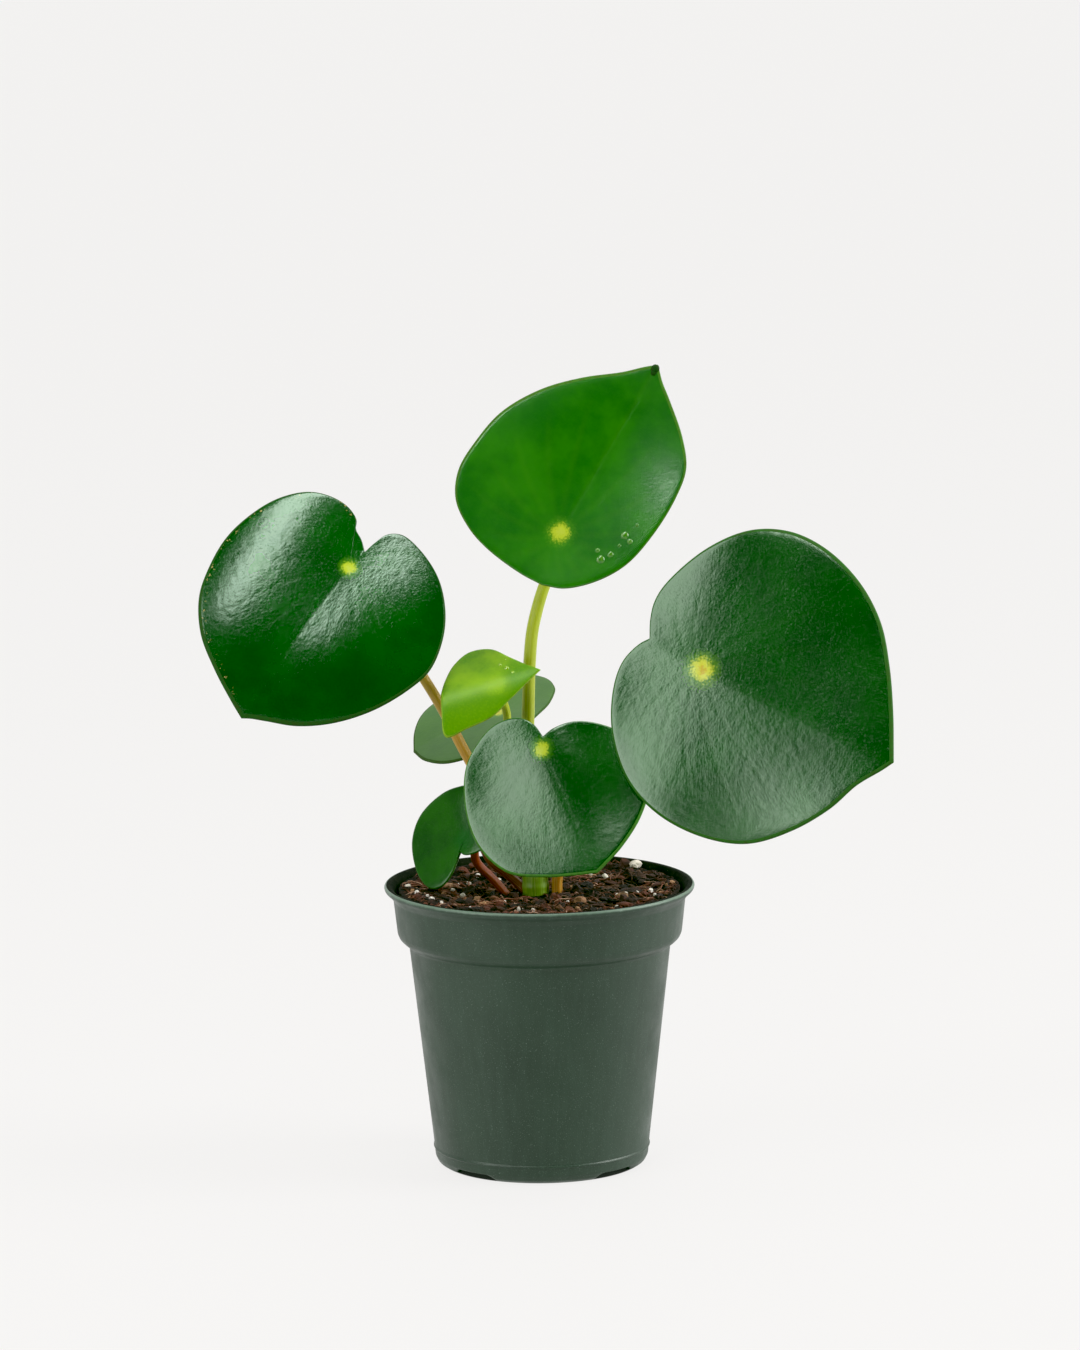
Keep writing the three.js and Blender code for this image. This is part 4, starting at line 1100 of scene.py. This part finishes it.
def make_lights():
    """One softbox low on the left in front, a long narrow one overhead in front and a large one on the
    right. The world is nearly dark in front and eases to a white studio wall behind."""
    softbox("left_box", (-1.195, -0.806, 0.57), (0, 0, 0.16), 0.9, 1.2, 3.3)
    softbox("top_box", (-0.14, -0.57, 1.2), (-0.14, -0.57, 0), 1.64, 0.24, 8.0, radians(62))
    softbox("right_box", (1.55, -0.13, 0.82), (0, 0, 0.12), 0.9, 1.3, 7.5)
    world = bpy.data.worlds.new("studio")
    bpy.context.scene.world = world
    world.use_nodes = True
    nodes, links = world.node_tree.nodes, world.node_tree.links
    background = nodes["Background"]
    direction = nodes.new("ShaderNodeTexCoord")
    axes = nodes.new("ShaderNodeSeparateXYZ")
    links.new(direction.outputs["Generated"], axes.inputs[0])
    behind = nodes.new("ShaderNodeMapRange")
    behind.interpolation_type = "SMOOTHSTEP"
    links.new(axes.outputs["Y"], behind.inputs["Value"])
    for key, value in {"From Min": -0.3, "From Max": 0.4, "To Min": 0.04, "To Max": 0.9}.items():
        behind.inputs[key].default_value = value
    background.inputs["Color"].default_value = (1.0, 0.995, 0.985, 1)
    links.new(behind.outputs["Result"], background.inputs["Strength"])


def set_print():
    """Plain colours, with the deepest shadows printed a little darker, more so in red and blue."""
    view = bpy.context.scene.view_settings
    view.view_transform = "Standard"
    view.use_curve_mapping = True
    view.curve_mapping.black_level = (0.01, 0.004, 0.01)
    view.curve_mapping.update()


# ---- The object --------------------------------------------------------------------------------

# The perlite grains that show most, from left to right: place across and back from the pot's axis, size.
PERLITE_PLACES = np.array([
    [-44.5, 1.9, 1.1], [-41.3, -9.1, 0.8], [-36.2, -17.9, 0.9], [-32.8, -23.9, 0.8], [-29.3, 5, 0.7],
    [-25.9, -5, 0.9], [-24.1, 15.5, 1], [-20.9, 24.7, 0.8], [-7.5, -2.5, 0.7], [7.1, -25.5, 0.9],
    [10.9, -32.7, 0.7], [15.5, 14.3, 0.5], [22.4, 22.6, 1.2], [26.1, -8.4, 0.5], [33, 31.5, 2],
])
# The largest bark flakes, in the same way.
FLAKE_PLACES = np.array([
    [31, -4, 3.2], [27, 8, 2.2], [-31, 9, 2.0], [17, -17, 2.2], [-13, -30, 1.8], [36, 12, 2.0],
])
FLAKE_SHAPE = [1.4, 0.8, 0.3]
CHIP_COUNT = 420
CRUMB_COUNT = 700
FIBRE_COUNT = 900
CLOD_COUNT = 90
LOOSE_GRAIN_COUNT = 26

# Drops and the dried tip: place across and along the blade, radius.
TOP_DROPS = [
    [19.3, 9.7, 1.4], [21.8, 8.8, 1], [21.1, 14.8, 0.6], [18.3, 1.8, 1.1], [16.3, -1.3, 1.5],
    [13.9, 0.9, 0.8], [19.4, 5.9, 0.6],
]
YOUNG_DROPS = [[-7.2, 3.7, 0.6], [-4.8, 5.3, 0.9], [-2.3, 6.7, 0.6], [-8.8, 6, 0.4]]
DRIED_TIP = [[0.1, 63.6, 1.5], [0.3, 62.2, 1.1]]

# The spot over a stalk, from its rim to its middle.
YELLOW_SPOT = (srgb("#5f9010"), srgb("#b8bc28"), srgb("#b08a1c"))
PALE_SPOT = (srgb("#4f8a10"), srgb("#a4b428"), srgb("#aab83a"))
LIME_SPOT = (srgb("#7fa804"),) * 3
GREEN_SPOT = (srgb("#0a4a08"),) * 3

# The greens of an upper face, deep and bright.
DEEP_GREENS = (srgb("#023803"), srgb("#054604"))
MID_GREENS = (srgb("#023704"), srgb("#074405"))
BRIGHT_GREENS = (srgb("#0c5801"), srgb("#226d02"))
BACK_GREENS = (srgb("#2c5a0a"), srgb("#3c6812"))
LOW_GREENS = (srgb("#083a02"), srgb("#195003"))
LIME_GREENS = (srgb("#4e8400"), srgb("#7fa804"))

# A stalk's colours at its foot, at its head and in its flecks.
LIME = (srgb("#8c9a14"), srgb("#a2b01a"), srgb("#6d7a10"))
TAN = (srgb("#ac7428"), srgb("#b0942a"), srgb("#8a4a24"))
RED = (srgb("#7c3018"), srgb("#962a18"), srgb("#54200f"))
FLESH = (srgb("#3f6a14"), srgb("#7ba226"), srgb("#2f5210"))

dark_under = underside_finish("leaf_underside", srgb("#6f9460"), srgb("#93b07c"))
lime_under = underside_finish("young_underside", srgb("#8fb52e"), srgb("#b4cf58"))
# Each leaf's upper face, underside and margin.
BLADES = {
    "top": (
        blade_finish("leaf_top_face", *BRIGHT_GREENS, PALE_SPOT, gloss=0.19, shine=1.35, through=0.2,
                     quilt=0.6, veins=0.06),
        dark_under, margin_finish("leaf_top_margin", srgb("#3a6a18")),
    ),
    "left": (
        blade_finish("leaf_left_face", *DEEP_GREENS, PALE_SPOT, gloss=0.16, shine=0.78, quilt=1.3,
                     spot_size=0.75, worn=1.0, cool=0.84),
        dark_under, margin_finish("leaf_left_margin", srgb("#1c4a12")),
    ),
    "right": (
        blade_finish("leaf_right_face", *MID_GREENS, YELLOW_SPOT, gloss=0.15, spot_size=1.2),
        dark_under, margin_finish("leaf_right_margin", srgb("#2a5a1c")),
    ),
    "front": (
        blade_finish("leaf_front_face", *MID_GREENS, PALE_SPOT, gloss=0.17, quilt=1.1, spot_size=0.8),
        dark_under, margin_finish("leaf_front_margin", srgb("#3c6e26")),
    ),
    "back": (
        blade_finish("leaf_back_face", *BACK_GREENS, YELLOW_SPOT, gloss=0.3, spot_size=0.8),
        dark_under, margin_finish("leaf_back_margin", srgb("#3c5a28")),
    ),
    "young": (
        blade_finish("leaf_young_face", *LIME_GREENS, LIME_SPOT, gloss=0.4, shine=0.35, through=0.3,
                     quilt=0.5, painted_shade=0.9),
        lime_under, margin_finish("leaf_young_margin", srgb("#7fa02c")),
    ),
    "lower_left": (
        blade_finish("leaf_low_face", *LOW_GREENS, GREEN_SPOT, gloss=0.2, shine=0.45),
        dark_under, margin_finish("leaf_low_margin", srgb("#2c5a1c")),
    ),
}

lime_stalk = stalk_finish("lime_stalk", *LIME)
tan_stalk = stalk_finish("tan_stalk", *TAN)
red_stalk = stalk_finish("red_stalk", *RED)
STALK_FINISHES = {
    "top": lime_stalk, "left": tan_stalk, "right": tan_stalk, "front": lime_stalk,
    "back": red_stalk, "young": lime_stalk, "lower_left": red_stalk,
}

# The second finish is the painted shade inside the pot.
pot = make_pot(pot_finish(), inside_shade_finish())
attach(pot, "root")
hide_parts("pot")

for leaf_name, finishes in BLADES.items():
    make_leaf(leaf_name, *finishes)

make_drops("sap_drops_top", "top", TOP_DROPS, drop_finish("dark_drops", BRIGHT_GREENS[1]))
make_drops("sap_drops_young", "young", YOUNG_DROPS, drop_finish("lime_drops", LIME_GREENS[1]))
make_drops("dried_tip", "top", DRIED_TIP, margin_finish("dried_skin", srgb("#123a08")))

for stalk_name, finish in STALK_FINISHES.items():
    make_leaf_stalk(stalk_name, finish)

make_stem(stalk_finish("stem_flesh", *FLESH))

make_soil(soil_finish())
bark = bark_finish("bark", srgb("#0c0504"), srgb("#5c2e20"), srgb("#b08a62"))
fibre = bark_finish("fibre", srgb("#1c0d08"), srgb("#8a5540"), srgb("#c8a488"))

# Each line that draws random numbers keeps its place among the others, so that the soil stays the same.
chip_sizes = rng.uniform(0.5, 1.8, CHIP_COUNT)
chip_stretch = [rng.uniform(low, high, CHIP_COUNT) for low, high in ((1.0, 2.4), (0.4, 0.9), (0.2, 0.6))]
chip_places = ring_places(CHIP_COUNT, 7.5, 45)
scatter("bark_chips", chip_places, chip_sizes, np.column_stack(chip_stretch), 0.5, bark, 0.5)

flake_stretch = np.array([FLAKE_SHAPE] * len(FLAKE_PLACES))
scatter("bark_flakes", FLAKE_PLACES[:, :2], FLAKE_PLACES[:, 2], flake_stretch, 0.5, bark, 0.9)

crumb_sizes = rng.uniform(0.3, 0.9, CRUMB_COUNT)
crumb_stretch = rng.uniform(0.6, 1.2, (CRUMB_COUNT, 3))
crumb_places = ring_places(CRUMB_COUNT, 6.5, SOIL_REACH)
scatter("peat_crumbs", crumb_places, crumb_sizes, crumb_stretch, 0.6, bark, 0.3)

make_fibres(FIBRE_COUNT, fibre)

clod_sizes = rng.uniform(1.2, 2.6, CLOD_COUNT)
clod_stretch = rng.uniform(0.6, 1.1, (CLOD_COUNT, 3))
scatter("peat_clods", ring_places(CLOD_COUNT, 9, 45), clod_sizes, clod_stretch, 0.5, bark, 0.1)

grain_places = np.vstack([PERLITE_PLACES[:, :2], ring_places(LOOSE_GRAIN_COUNT, 12, 45)])
grain_sizes = np.concatenate([PERLITE_PLACES[:, 2], rng.uniform(0.4, 0.9, LOOSE_GRAIN_COUNT)])
grain_stretch = rng.uniform(0.75, 1.15, (len(grain_sizes), 3))
scatter("perlite_grains", grain_places, grain_sizes, grain_stretch, 0.4, perlite_finish(), 0.9)

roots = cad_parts["roots"]
roots.data.materials.clear()
roots.data.materials.append(root_finish())

make_floor()
make_lights()
set_print()
